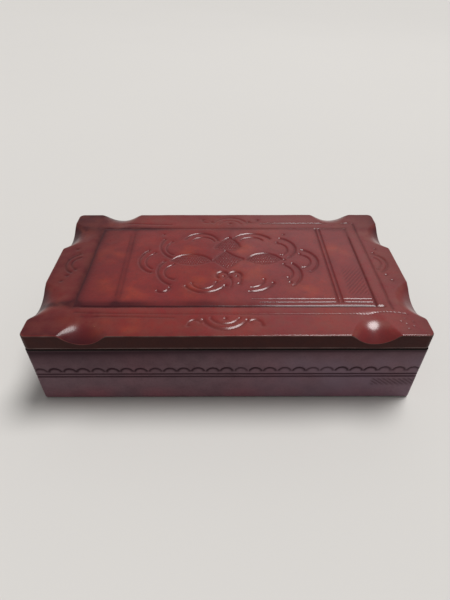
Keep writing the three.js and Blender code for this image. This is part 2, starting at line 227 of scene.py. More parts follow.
class LeatherBoxStage(bpy.types.PropertyGroup):
    """The floor, the lamps and the camera."""

    lens: bpy.props.FloatProperty(
        name="Lens", description="Focal length of the camera", default=25.568, unit="CAMERA"
    )
    camera: bpy.props.FloatVectorProperty(
        name="Camera", description="Place of the camera", subtype="TRANSLATION", size=3,
        default=(-0.00264, -0.30441, 0.28832),
    )
    pitch: angle_property("Pitch", "How far the camera looks down", 40.194)
    yaw: angle_property("Yaw", "How far the camera looks to the right", 0.262)
    roll: angle_property("Roll", "How far the camera leans", 0.06)
    key: light_property("Key lamp", "Power of the key lamp", 2.75)
    panel: light_property("Panel", "Power of the soft panel behind", 1.25)
    sky: light_property("Sky", "Strength of the soft light all round", 0.3)
    floor: colour_property("Floor", "Pale floor", "#CFCCC8")
    backdrop: colour_property("Backdrop", "Pale backdrop, which the leather and the brass reflect", "#C0BDB9")


# Meshes from whole arrays of points

def make_piece(name, points, faces, smooth=True):
    """Puts points and faces into a new mesh object at the origin."""
    mesh = bpy.data.meshes.new(name)
    mesh.from_pydata(np.asarray(points, float) * MM, [], faces)
    mesh.validate()
    mesh.update()
    if smooth:
        mesh.shade_smooth()
    else:
        mesh.shade_flat()
    piece = bpy.data.objects.new(name, mesh)
    bpy.context.scene.collection.objects.link(piece)
    return piece


def grid_faces(rows, columns, wrap=False):
    """Quads between neighbouring points of a grid, which may close on itself both ways."""
    row = np.arange(rows if wrap else rows - 1)[:, None]
    column = np.arange(columns if wrap else columns - 1)[None, :]
    row_next, column_next = (row + 1) % rows, (column + 1) % columns
    corners = [row * columns + column, row * columns + column_next]
    corners += [row_next * columns + column_next, row_next * columns + column]
    return np.stack([np.broadcast_to(c, (row.size, column.size)) for c in corners], -1).reshape(-1, 4)


def ring_piece(name, rows):
    """A closed ring: each row goes once round the box, and the last row joins the first.

    The rows run from the inside of the upper surface outwards and down, and come back inside.
    """
    faces = grid_faces(*rows.shape[:2], wrap=True)
    return make_piece(name, rows.reshape(-1, 3), faces[:, ::-1].tolist())


def sheet_piece(name, front, back_height):
    """A grid of points as the front of a sheet. Its rim goes straight down to a flat back."""
    rows, columns = front.shape[:2]
    index = np.arange(rows * columns).reshape(rows, columns)
    rim = np.concatenate([index[0, :-1], index[:-1, -1], index[-1, :0:-1], index[:0:-1, 0]])
    points = front.reshape(-1, 3)
    back = points[rim].copy()
    back[:, 2] = back_height
    around = np.arange(len(rim))
    after = np.roll(around, -1)
    skirt = np.stack([rim, len(points) + around, len(points) + after, rim[after]], -1)
    bottom = (len(points) + around)[::-1]
    faces = [*grid_faces(rows, columns).tolist(), *skirt.tolist(), bottom.tolist()]
    return make_piece(name, np.concatenate([points, back]), faces)


def paint(piece, name, values):
    """Stores one number for each point of a piece, for its material to read."""
    layer = piece.data.attributes.new(name, "FLOAT", "POINT")
    layer.data.foreach_set("value", np.asarray(values, np.float32).ravel())


def smooth_step(low, high, value):
    """0 before low, 1 past high, and a smooth S between them, whichever of the two is larger."""
    share = np.clip((value - low) / (high - low), 0, 1)
    return share * share * (3 - 2 * share)


def waves(x, y, seed, lengths):
    """Sums eight sine waves of random direction and of the given range of lengths, to about -1 to 1."""
    draw = np.random.default_rng(seed)
    total = np.zeros(np.broadcast(x, y).shape)
    for _ in range(8):
        heading, phase = draw.uniform(0, 2 * math.pi, 2)
        length = draw.uniform(*lengths)
        total += np.sin((x * math.cos(heading) + y * math.sin(heading)) * 2 * math.pi / length + phase)
    return total / 4


# Tooling: every stroke is a line of two points or an arc of three, seen from above

# Tools: half width, and depth as a share of the groove
BOLD, PLAIN, FINE, THIN, FAINT = (1.2, 1.0), (0.85, 0.8), (0.6, 0.45), (0.6, 0.5), (0.9, 0.12)
ROULETTE = (0.65, 0.55)
ROULETTE_PITCH, ROULETTE_BEAT = 2.6, 0.28
BEAD, SIDE_BEAD, CORNER_BEAD = (1.4, 0.9), (1.35, 0.95), (0.9, 0.5)
# How dark the dye is that stays in a stroke
INK, LINE_INK, FAINT_INK = 0.3, 0.4, 0.18
DEEPEST = 1.06

# The middle of the lid: two leaves, each of an upper and a lower arc
LEAVES = [
    ([(18.4, 7.4), (31, 16.8), (48.4, 8)], [(18.4, 7.4), (34.4, 0.4), (48.4, 8)]),
    ([(-48.5, 6.4), (-34.2, 15.6), (-13, 5.6)], [(-48.5, 6.4), (-31, -0.4), (-13, 5.6)]),
]
DIAMOND = [(-0.6, 21.4), (-12.5, 5.4), (0.6, -7), (15, 8)]
HEART = [(2.6, 44), (-4.8, 36.2), (-10, 26.6), (-6, 23), (0.6, 22.4), (8.4, 23), (12, 28), (8.6, 37)]
FIELD_SINK, FIELD_INK = 0.26, 0.22
SOFT_RIM = (-0.4, 1.2)
STIPPLE_PITCH_X, STIPPLE_PITCH_Y = 2.2, 2.6
STIPPLE_RADIUS, STIPPLE_DEPTH = 0.7, 0.8

# Crescents and scrolls, and the outlines of the diamond and the heart
CENTRE_STROKES = {
    BOLD: [
        [(69.8, 22.5), (80.2, 6), (71.8, -10.8)], [(50.6, 42.6), (62.9, 26.7), (55, 10.4)],
        [(57.4, 1.6), (63.2, -10.8), (54.4, -29.8)], [(7, 42.5), (23, 51), (41, 42)],
        [(18.4, -37.5), (31, -34.7), (38.8, -26.7)], [(-70.4, 22), (-76.9, 6.6), (-65, -11.2)],
        [(-58, 40.4), (-59.8, 25.4), (-49.4, 10.6)], [(-55.4, 3.6), (-58.4, -13.8), (-47, -28.4)],
        [(-56.6, -36.6), (-51.4, -37.8), (-46.8, -32)], [(-38.5, 41.5), (-26, 51.2), (-8, 38.5)],
        [(-33.4, -30.8), (-17, -38.4), (-1.5, -29.6)], [(2.6, 44), (-4.8, 36.2), (-10, 26.6)],
        [(2.6, 44), (8.6, 37), (12, 28)], [(-0.6, 21.4), (-12.5, 5.4)],
        [(-7, -19.4), (-3.2, -11.2), (0.4, -18.4)], [(3.2, -19.6), (7, -10.9), (11.6, -18.8)],
    ],
    PLAIN: [
        [(66, 14.6), (73.8, 5), (65.4, -5)], [(47, 34), (55.5, 23), (48.4, 13.6)],
        [(50.6, -1.6), (56.3, -11.2), (51, -22)], [(13, 38.5), (23, 44.2), (34, 39)],
        [(20, -32), (28, -29.4), (31.5, -21.6)], [(-64.4, 17.4), (-70.9, 5), (-64, -6.6)],
        [(-50.4, 36), (-55, 25), (-47.6, 15)], [(-46.4, -0.6), (-53, -10.8), (-44.2, -21.4)],
        [(-31.5, 38.6), (-23, 44.4), (-11, 37)], [(-29, -26.2), (-19, -33.8), (-8.5, -25)],
        [(-0.6, 21.4), (6, 14.4), (15, 9)], [(11.6, -18.8), (11.8, -23.6), (9.8, -27.8)],
    ],
    FINE: [
        [(-12.5, 5.4), (-5, -1), (0, -7)], [(15, 9), (7, 0), (1.5, -7)],
        [(0.4, -18.4), (-3.5, -23), (-8.5, -25)], [(3.2, -19.6), (4.5, -26), (3, -32)],
    ],
    FAINT: [[(-10, 26.6), (-7, 22.6), (-1.6, 22.8)], [(12, 28), (8.6, 23), (2, 22.6)]],
}

# Round punches, most of them at the ends of strokes
CENTRE_BEADS = [
    (68.8, 22.6), (65.8, 15.8), (66, -4.6), (54.8, 49.2), (47, 35), (49, 14.6), (49.8, 0.4), (51, 7),
    (51.6, -19), (52.6, -25.6), (-71, 21.6), (-64.4, 18), (-59.6, 49.6), (-50.6, 36.6), (-54.6, 5),
    (-46.2, 0.4), (-33.8, -30.4), (-56.6, -36.4), (-28.8, -26.4), (-1.4, -29.8), (-12.4, 5.4), (2.6, 44),
    (-0.8, 21.2), (14.4, 8), (8.6, -17.2), (-2.4, -17.4), (10, -27.2), (-8.6, -25.4), (31.2, -21.4),
    (38.2, -26),
]

# Ornaments in the middle of the long and of the short sides: along the edge, and in from it
LONG_STROKES = {
    BOLD: [[(-16.5, 17.5), (0, 7.4), (16.5, 17.5)]],
    PLAIN: [
        [(-11, 19.5), (0, 13), (11, 19.5)],
        [(-27.5, 12), (-24, 17), (-18.5, 15.6)], [(27.5, 12), (24, 17), (18.5, 15.6)],
    ],
}
LONG_BEADS = [(-18.2, 15.4), (18.2, 15.4), (-27.4, 11.6), (27.4, 11.6), (0, 18.6)]
SHORT_STROKES = {BOLD: [[(-13, 17), (0, 9.6), (14, 18.5)]], PLAIN: [[(-8, 19.5), (0, 14.6), (9, 20.5)]]}
SHORT_BEADS = [(-25, 12), (-17.5, 15), (22, 14), (15.5, 17.5), (-9, 19.6)]
CORNER_BEADS = [
    (133.2, -70.1), (138.4, -73.7), (132.8, -76.1), (137.6, -78.6), (132.8, -81.3), (129.4, -73.4),
]

# The frame round the middle, and the lines that keep it company
FRAME_X, FRAME_Y = (-119.0, 116.5), (-55.8, 60.2)
FRAME_LOW, FRAME_HIGH = zip(FRAME_X, FRAME_Y)
FRAME_WIDTH, FRAME_DEPTH = 0.85, 0.85
FRAME_AT_BACK, FRAME_AT_LEFT, FRAME_AT_RIGHT = (40, 50), (-112, -116), (112, 116)
INNER_LINES = {
    BOLD: [[(116.5, -55.8), (121.5, -56.0)]],
    PLAIN: [
        [(34, 70.4), (121.5, 70.6)], [(126.2, 69), (127.4, -58.8)],
        [(87, 60), (87.3, -50)], [(90.6, 60), (90.9, -50)],
    ],
    THIN: [[(26, -51.2), (116.5, -51.3)], [(20, -47), (117, -47.3)]],
    FAINT: [[(-90.8, 47), (-88.6, -43)], [(-87, 50), (-84.6, -45)]],
}
ROULETTE_LINES = [
    [(-116, -62.3), (-80, -64)], [(-80, -64), (40, -65)], [(40, -65), (108, -65)],
    [(108, -65), (124, -62.8), (137, -65.5)], [(-110, -66.6), (-40, -68.6)], [(-102, 70.2), (-54, 67.6)],
]
# The hatched field at the right end: on each side, where it starts and where it is full
HATCH_SIDES_X, HATCH_SIDES_Y = ((96, 100), (115, 113)), ((-45, -39), (2, -14))
HATCH_SINK, HATCH_INK = 0.4, 0.36

# Patches of thin dye on the lid: middle and radius
THIN_PATCHES = [
    (-106, 16, 13), (-97, -31, 13), (-74, -38, 12), (-25, -30, 14), (18, 24, 10), (20, -10, 15), (-9, -16, 9),
    (-92, -77, 11), (-72, -78, 12), (-121, -70, 8), (-33, 22, 9), (64, -32, 12), (100, 20, 10),
]

# Antique dye towards the lid's ends and back, and painted shade over the left end, where the ramp is
# strongest: its share, and where it starts and is full, along x and along y
EVERYWHERE = (-2000, -1000)
DYE_AND_SHADE_RAMPS = [
    (0.5, (-60, -140), EVERYWHERE), (0.22, (118, 148), EVERYWHERE), (0.16, EVERYWHERE, (50, 80)),
    (0.2, (20, -90), (-58, -70)), (0.22, (70, 130), (20, 60)), (0.22, (-70, -130), (20, 60)),
]
FAINT_LINES_X = -87.5

# Scoops: middle along the edge and how far it is moved, half length, reach inwards and depth
FRONT_SCOOP = {"middle": 106.5, "shift": 1.4, "half": 16.8, "reach": 20.0, "depth": 8.4}
BACK_SCOOP = {"middle": 106.5, "shift": 0.0, "half": 18.2, "reach": 20.0, "depth": 7.2}
SHORT_SCOOP = {"middle": 48.0, "half": 21.5, "reach": 17.0, "depth": 9.4}
SCOOP_FALL = 1.5


def line_distance(x, y, start, end):
    """Distance to a straight stroke: off its line between the ends, and off the nearer end beyond them."""
    ax, ay = start
    bx, by = end
    run = (bx - ax) ** 2 + (by - ay) ** 2
    share = np.clip(((x - ax) * (bx - ax) + (y - ay) * (by - ay)) / run, 0, 1)
    return np.hypot(x - ax - share * (bx - ax), y - ay - share * (by - ay))


def circle_through(start, middle, end):
    """Centre and radius of the circle through three points, where their perpendicular bisectors meet."""
    (ax, ay), (bx, by), (cx, cy) = start, middle, end
    twice_area = 2 * (ax * (by - cy) + bx * (cy - ay) + cx * (ay - by))
    squares = [ax * ax + ay * ay, bx * bx + by * by, cx * cx + cy * cy]
    x = (squares[0] * (by - cy) + squares[1] * (cy - ay) + squares[2] * (ay - by)) / twice_area
    y = (squares[0] * (cx - bx) + squares[1] * (ax - cx) + squares[2] * (bx - ax)) / twice_area
    return x, y, math.hypot(ax - x, ay - y)


def arc_distance(x, y, start, middle, end):
    """Distance to an arc: off its circle within the sweep, and off the nearer end outside it."""
    cx, cy, radius = circle_through(start, middle, end)
    first, half, last = (math.atan2(py - cy, px - cx) for px, py in (start, middle, end))
    turn = 1 if (half - first) % (2 * math.pi) < (last - first) % (2 * math.pi) else -1
    sweep = (turn * (last - first)) % (2 * math.pi)
    angle = (turn * (np.arctan2(y - cy, x - cx) - first)) % (2 * math.pi)
    off_circle = np.abs(np.hypot(x - cx, y - cy) - radius)
    off_ends = np.minimum(np.hypot(x - start[0], y - start[1]), np.hypot(x - end[0], y - end[1]))
    return np.where(angle <= sweep, off_circle, off_ends)


def stroke_distance(x, y, points):
    """Distance to a stroke of two points (a line) or three (an arc)."""
    return line_distance(x, y, *points) if len(points) == 2 else arc_distance(x, y, *points)


def edge_distance(x, y, low, high):
    """Distance to a rectangle's outline, positive inside it."""
    return np.minimum(np.minimum(x - low[0], high[0] - x), np.minimum(y - low[1], high[1] - y))


def gouged(along, inward, scoop):
    """Height over the lid's top of the cut of a round gouge, pushed out and down over the edge.

    Across the cut it is an arc, whose radius gives the half length at the edge. The arc's
    lowest point falls towards the edge by the depth times (1 - inward / reach) to the
    power of the fall. Past the arc's ends and the reach it climbs on, for the blend.
    """
    radius = (scoop["half"] ** 2 + scoop["depth"] ** 2) / (2 * scoop["depth"])
    off = np.minimum(np.abs(along), 0.98 * radius)
    arc = radius - np.sqrt(radius ** 2 - off ** 2) + 2 * (np.abs(along) - off)
    left = 1 - inward / scoop["reach"]
    return arc - scoop["depth"] * np.sign(left) * np.abs(left) ** SCOOP_FALL


def blend_down(first, second, softness):
    """The lower of two heights, rolled over smoothly where they are within the softness."""
    share = np.clip(0.5 + 0.5 * (second - first) / softness, 0, 1)
    return second * (1 - share) + first * share - softness * share * (1 - share)


def scooped(x, y, softness):
    """How far the eight scoops lower the lid's top, as heights of zero and below."""
    height = np.zeros(np.broadcast(x, y).shape)
    half_x, half_y = LID_HIGH[:2]
    for side in (-1, 1):
        for end in (-1, 1):
            scoop = FRONT_SCOOP if side < 0 else BACK_SCOOP
            long_cut = gouged(x - end * scoop["middle"] - scoop["shift"], half_y - side * y, scoop)
            short_cut = gouged(y - end * SHORT_SCOOP["middle"], half_x - side * x, SHORT_SCOOP)
            height = blend_down(height, long_cut, softness)
            height = blend_down(height, short_cut, softness)
    return height


def pressed(distance, width):
    """Depth share of a tool pressed along a stroke: a bell across it."""
    return np.exp(-(distance / width) ** 2)


class Tooling:
    """The marks on a flat piece of leather.

    cut is how deep each point is pressed, hollow how the leather round a mark gives, and
    ink how much antique dye stays. Where marks cross, the deeper one shows. A mark is
    worked out within REACH of its points, and its hollow is HOLLOW_WIDTH times as wide.
    """

    REACH = 16
    HOLLOW_WIDTH = 4.2

    def __init__(self, x, y):
        self.x, self.y = x, y
        self.cut, self.hollow, self.ink = np.zeros((3, *x.shape))

    def mark(self, distance_of, points, tool, force=1.0, ink=INK, beat=0.0):
        """Presses one stroke or punch. With a beat its depth comes and goes, as under a toothed wheel."""
        low, high = np.min(points, axis=0) - self.REACH, np.max(points, axis=0) + self.REACH
        here = (self.x > low[0]) & (self.x < high[0]) & (self.y > low[1]) & (self.y < high[1])
        x, y = self.x[here], self.y[here]
        width, depth = tool
        distance = distance_of(x, y)
        teeth = 1 - beat + beat * np.cos(2 * math.pi * (x + y) / ROULETTE_PITCH)
        self.cut[here] = np.maximum(self.cut[here], teeth * force * depth * pressed(distance, width))
        hollow = force * depth * pressed(distance, self.HOLLOW_WIDTH * width)
        self.hollow[here] = np.maximum(self.hollow[here], hollow)
        self.ink[here] = np.maximum(self.ink[here], ink * pressed(distance, width))

    def stroke(self, tool, points, force=1.0, ink=INK, beat=0.0):
        """Presses a line or arc with one of the tools."""
        self.mark(lambda x, y: stroke_distance(x, y, points), points, tool, force, ink, beat)

    def bead(self, place, tool=BEAD):
        """Punches one round bead."""
        self.mark(lambda x, y: np.hypot(x - place[0], y - place[1]), [place, place], tool)

    def dent(self, mask, amount, ink):
        """Presses a whole area down by an amount, scaled by its mask."""
        self.cut = np.maximum(self.cut, amount * mask)
        self.ink = np.maximum(self.ink, ink * np.minimum(mask, 1))


def each_stroke(table):
    """Every stroke of a table, with its tool."""
    return [(tool, points) for tool, strokes in table.items() for points in strokes]


def stipple(x, y):
    """Rows of small pits: a bell in each cell of a staggered grid."""
    row = np.floor(y / STIPPLE_PITCH_Y)
    across = STIPPLE_PITCH_X * ((x / STIPPLE_PITCH_X + 0.5 * (row % 2)) % 1 - 0.5)
    down = STIPPLE_PITCH_Y * ((y / STIPPLE_PITCH_Y) % 1 - 0.5)
    return pressed(np.hypot(across, down), STIPPLE_RADIUS)


def hatched(x, y, slant, pitch):
    """Slanting furrows: a raised cosine across the line x + slant * y."""
    return 0.5 + 0.5 * np.cos(2 * math.pi * (x + slant * y) / pitch)


def inside_leaf(x, y, leaf):
    """1 inside both circles of a leaf, with a soft rim."""
    circles = [circle_through(*arc) for arc in leaf]
    masks = [smooth_step(*SOFT_RIM, radius - np.hypot(x - cx, y - cy)) for cx, cy, radius in circles]
    return np.min(masks, axis=0)


def inside_polygon(x, y, corners):
    """1 inside a convex polygon whose corners run anticlockwise, with a soft rim."""
    masks = []
    for (ax, ay), (bx, by) in zip(corners, corners[1:] + corners[:1]):
        length = math.hypot(bx - ax, by - ay)
        masks.append(smooth_step(*SOFT_RIM, ((bx - ax) * (y - ay) - (by - ay) * (x - ax)) / length))
    return np.min(masks, axis=0)


def frame_lines(tooling):
    """The deep frame line, its companions, the roulette lines and a field of fine hatching.

    The frame line is deep at the front, and fades in and out round the other sides.
    """
    x, y = tooling.x, tooling.y
    off_frame = np.abs(edge_distance(x, y, FRAME_LOW, FRAME_HIGH))
    at_back = smooth_step(*FRAME_AT_BACK, y)
    at_left, at_right = smooth_step(*FRAME_AT_LEFT, x), smooth_step(*FRAME_AT_RIGHT, x)
    force = 1 - at_back * (0.45 + 0.2 * smooth_step(50, -10, x)) - 0.75 * at_left * (1 - at_back)
    tooling.cut = np.maximum(tooling.cut, FRAME_DEPTH * force * pressed(off_frame, FRAME_WIDTH))
    tooling.hollow = np.maximum(tooling.hollow, FRAME_DEPTH * pressed(off_frame, 3.2))
    ink = 0.85 - 0.62 * np.maximum(at_back, at_left) - 0.3 * at_right * (1 - at_back)
    tooling.ink = np.maximum(tooling.ink, ink * pressed(off_frame, 1.3 * FRAME_WIDTH))
    for tool, points in each_stroke(INNER_LINES):
        tooling.stroke(tool, points, ink=FAINT_INK if tool is FAINT else LINE_INK)
    for points in ROULETTE_LINES:
        tooling.stroke(ROULETTE, points, beat=ROULETTE_BEAT)
    sides = [smooth_step(*side, x) for side in HATCH_SIDES_X]
    sides += [smooth_step(*side, y) for side in HATCH_SIDES_Y]
    tooling.dent(np.prod(sides, axis=0) * hatched(x, y, -0.8, 1.28 * HATCH_PITCH), HATCH_SINK, HATCH_INK)


def centre_motif(tooling):
    """Crescents, scrolls, leaves, heart and diamond in the middle of the lid."""
    x, y = tooling.x, tooling.y
    fields = [inside_leaf(x, y, leaf) for leaf in LEAVES]
    fields += [inside_polygon(x, y, shape) for shape in (DIAMOND, HEART)]
    pits = STIPPLE_DEPTH / FIELD_SINK * stipple(x, y)
    for field in fields:
        tooling.dent(field * (1 + pits), FIELD_SINK, FIELD_INK)
    for upper, lower in LEAVES:
        tooling.stroke(BOLD, upper)
        tooling.stroke(FINE, lower)
    for tool, points in each_stroke(CENTRE_STROKES):
        tooling.stroke(tool, points)
    for place in CENTRE_BEADS:
        tooling.bead(place)


def border_ornaments(tooling):
    """An ornament near the middle of each side, and a spray of small beads in one corner."""
    half_x, half_y = LID_HIGH[:2]
    sides = [
        (LONG_STROKES, LONG_BEADS, 1.0, lambda along, inward: (along - 1.5, inward - half_y)),
        (LONG_STROKES, LONG_BEADS, 0.55, lambda along, inward: (along + 4, half_y - inward)),
        (SHORT_STROKES, SHORT_BEADS, 1.0, lambda along, inward: (inward - half_x, along + 2)),
        (SHORT_STROKES, SHORT_BEADS, 0.85, lambda along, inward: (half_x - inward, along + 2)),
    ]
    for strokes, beads, force, place_on in sides:
        for tool, points in each_stroke(strokes):
            tooling.stroke(tool, [place_on(*point) for point in points], force, force * INK)
        for bead in beads:
            tooling.bead(place_on(*bead), SIDE_BEAD)
    for place in CORNER_BEADS:
        tooling.bead(place, CORNER_BEAD)


def smeared_dye(x, y):
    """Antique dye wiped into bands along the frame line and the faint lines, thicker in some places."""
    smear = 0.5 + 0.5 * waves(x, y, *SMEAR_WAVES)
    left_band = pressed(x - FRAME_X[0], 5) * (0.18 + 0.24 * smear)
    left_band = left_band + pressed(x - FAINT_LINES_X, 3.4) * (0.12 + 0.25 * smear)
    cross_band = pressed(y - FRAME_Y[1], 4) + pressed(y - FRAME_Y[0] - 3.5, 3.6)
    cross_share = 0.12 + 0.75 * smear * smooth_step(60, -60, x)
    return left_band * smooth_step(62, 54, np.abs(y)) + cross_band * cross_share


def lid_surface(x, y, sizes):
    """Height of the lid's top at each point, how far it is scooped, and the dye and painted shade that its
    material reads.

    The height is the top less the scoops, and less the deeper of the leather's own waves
    and the tooling, which fades out towards a scoop.
    """
    tooling = Tooling(x, y)
    frame_lines(tooling)
    centre_motif(tooling)
    border_ornaments(tooling)
    scoop = scooped(x, y, sizes.shoulder / MM)
    flat = smooth_step(-1.2, -0.1, scoop)
    ripple = sizes.ripple / MM * (waves(x, y, *SLOW_WAVES) + 0.3 * waves(x, y, *QUICK_WAVES) - 1)
    sunk = np.minimum(ripple, 0) - flat * sizes.groove / MM * (0.8 * tooling.cut + 0.2 * tooling.hollow)
    # Antique dye stays in the tooling and its smears, in the scoops, at the edge and at the ends, and painted
    # shade darkens the left end
    patina = flat * (tooling.ink + 0.16 * tooling.hollow) + smeared_dye(x, y)
    patina = patina + (0.2 - 0.05 * x / LID_HIGH[0]) * smooth_step(-1.5, -7, scoop)
    patina = patina + 0.22 * pressed(edge_distance(x, y, LID_LOW, LID_HIGH), 6)
    for share, ramp_x, ramp_y in DYE_AND_SHADE_RAMPS:
        patina = patina + share * smooth_step(*ramp_x, x) * smooth_step(*ramp_y, y)
    patches = [pressed(np.hypot(x - px, y - py), radius) for px, py, radius in THIN_PATCHES]
    thin = np.max(patches, axis=0) * (0.6 + 0.4 * waves(x, y, *PATCH_WAVES))
    height = LID_HIGH[2] + scoop + np.maximum(sunk, -DEEPEST)
    return height, scoop, {"patina": np.clip(patina, 0, 1), "thin": thin}


# Rings that go round the box

PAINTS = ("patina", "thin", "wear", "burnish", "grey_tone_and_sheen")


def quarter_turn(rows):
    """Angles of the rows round a quarter circle, after its start."""
    return np.linspace(0, math.pi / 2, rows + 1)[1:]


def ring_columns(high, radius, step):
    """Places and outward directions once round a rectangle with rounded corners, anticlockwise from above.

    Each side runs from the middle of one corner's arc to the middle of the next, in equal
    steps of its length. At each wall of a hinge's housing, in the back side, two columns
    stand close together. The last result numbers the sides: front, right, back and left.
    """
    places, outwards, sides = [], [], []
    for side in range(4):
        half_along, half_out = high[side % 2], high[1 - side % 2]
        straight = 2 * (half_along - radius)
        arc = radius * math.pi / 4
        count = round((straight + 2 * arc) / step)
        travel = np.arange(count) * (straight + 2 * arc) / count
        for wall in HOUSING_WALLS if side == 2 else ():
            target = arc + half_along - radius - wall
            after = np.searchsorted(travel, target)
            travel[after - 1:after + 1] = target - WALL_GAP / 2, target + WALL_GAP / 2
        turn = (np.minimum(travel - arc, 0) + np.maximum(travel - arc - straight, 0)) / radius
        along = np.clip(travel - arc, 0, straight) + radius - half_along + radius * np.sin(turn)
        out = half_out - radius + radius * np.cos(turn)
        quarter = side * math.pi / 2
        across = np.array([math.cos(quarter), math.sin(quarter)])
        facing = np.array([math.sin(quarter), -math.cos(quarter)])
        places.append(along[:, None] * across + out[:, None] * facing)
        outwards.append(np.sin(turn)[:, None] * across + np.cos(turn)[:, None] * facing)
        sides.append(np.full(count, side))
    return np.concatenate(places), np.concatenate(outwards), np.concatenate(sides)


def onto_rectangle(places, sides, low, high, keep=0.75):
    """Maps each place of a ring to a smaller rectangle.

    Along each side a place keeps its position in the middle, and beyond that closes up
    evenly towards the corner, so that the columns meet the corners in mitres.
    """
    inner = np.empty_like(places)
    for side in range(4):
        here, axis = sides == side, side % 2
        along = places[here, axis]
        moved = along.copy()
        for end, limit in ((-1, -low[axis]), (1, high[axis])):
            kept = keep * limit
            beyond = (end * along - kept) / (np.max(end * along) - kept)
            moved = np.where(beyond > 0, end * (kept + beyond * (limit - kept)), moved)
        inner[here, axis] = moved
        inner[here, 1 - axis] = (low, high, high, low)[side][1 - axis]
    return inner


def between(first, second, shares):
    """Rows spaced between two rows by the given shares."""
    shares = np.asarray(shares, float)[:, None, None]
    return first * (1 - shares) + second * shares


def pulled_in(outline, outward, amounts):
    """Rows inside an outline, by an amount for each row, or for each point of each row."""
    amounts = amounts[:, None] if amounts.ndim == 1 else amounts
    return outline - amounts[..., None] * outward


def bevelled(points, side, inset):
    """Presses points back onto the bevel that is taken off the back edge at the seam.

    side is -1 for the body and 1 for the lid, and inset moves the bevel into the leather.
    """
    normal = np.array([0, math.sin(BEVEL), -side * math.cos(BEVEL)])
    past = (points[..., 1] - AXIS_Y) * normal[1] + (points[..., 2] - AXIS_Z) * normal[2] + BEVEL_GAP + inset
    return points - np.maximum(past, 0)[..., None] * normal


def housed(points, side, ease):
    """Presses the leather flat under the hinge leaves, and round their barrels.

    Near a hinge a point is moved to the leaf's far face or beyond, and a point nearer to
    the hinge's axis than its barrel's housing is moved straight out from the axis.
    """
    x, y, z = points[..., 0], points[..., 1], points[..., 2]
    near_hinge = np.abs(np.abs(x) - HINGE_MIDDLE) < HOUSING_HALF
    under = near_hinge & (y > LEAF_LOW[1] - HOUSING_GAP) & (y < AXIS_Y + 1)
    z = np.where(under, AXIS_Z + side * np.maximum(side * (z - AXIS_Z), LEAF_DEPTH + ease), z)
    off_y, off_z = y - AXIS_Y, z - AXIS_Z
    away = np.maximum(np.hypot(off_y, off_z), 1e-6)
    push = np.where(near_hinge & (away < BARREL_ROOM + ease), (BARREL_ROOM + ease) / away, 1)
    return np.stack([x, AXIS_Y + off_y * push, AXIS_Z + off_z * push], -1)


class RingRows:
    """Rows of a ring as they are laid, each with the shares of dye and wear that its material reads."""

    def __init__(self):
        self.rows = []
        self.paints = {name: [] for name in PAINTS}

    def add(self, places, heights, **shares):
        """Lays one or more rows, at a height for all of them, for each row or for each point.

        The shares are those of its dye and wear, and one that isn't given is zero.
        """
        heights = np.asarray(heights, float)
        heights = heights[:, None] if heights.ndim == 1 else heights
        places, heights = np.broadcast_arrays(places, heights[..., None])
        self.rows.append(np.concatenate([places, heights[..., :1]], -1))
        for name, blocks in self.paints.items():
            blocks.append(np.broadcast_to(shares.get(name, 0.0), places.shape[:2]))

    def count(self):
        """How many rows there are so far."""
        return sum(len(block) for block in self.rows)

    def make(self, name, outer_rows, side, skin):
        """Fits the rows round the bevel and the hinges, and makes them one closed, painted ring.

        side is -1 for the body and 1 for the lid. The rows after the outer ones lie inside the leather.
        """
        points = np.concatenate(self.rows)
        outer = housed(bevelled(points[:outer_rows], side, 0), side, OUTER_EASE)
        inside = housed(bevelled(points[outer_rows:], side, skin), side, INNER_EASE)
        piece = ring_piece(name, np.concatenate([outer, inside]))
        for share, blocks in self.paints.items():
            paint(piece, share, np.concatenate(blocks))
        return piece


def scallop_row(along, z, half, seed):
    """A row of scallops along one wall: how deep each point is pressed, and how dark its dye is.

    Each scallop is an arc of its own, struck a little off its place, as by hand. Under
    the arc's foot the distance is that to the nearer end.
    """
    count = round(2 * half / SCALLOP_PITCH)
    pitch = 2 * half / count
    span = SCALLOP_SPAN * pitch
    draw = np.random.default_rng(seed)
    drifts = SCALLOP_SHIFT, SCALLOP_LIFT, SCALLOP_FORCE
    shift, lift, force = (draw.uniform(*drift, count) for drift in drifts)
    cell = np.clip(((along + half) / pitch).astype(int), 0, count - 1)
    off = along + half - (cell + 0.5) * pitch - shift[cell]
    top = SCALLOP_TOP + SCALLOP_CLIMB * along + lift[cell]
    radius = (span ** 2 + SCALLOP_RISE ** 2) / (2 * SCALLOP_RISE)
    foot = top - SCALLOP_RISE
    off_arc = np.abs(np.hypot(off, z - top + radius) - radius)
    off_foot = np.hypot(np.abs(off) - span, z - foot)
    off_mark = np.where(z > foot, off_arc, off_foot)
    return force[cell] * pressed(off_mark, 0.72), force[cell] * pressed(off_mark, 1.0)


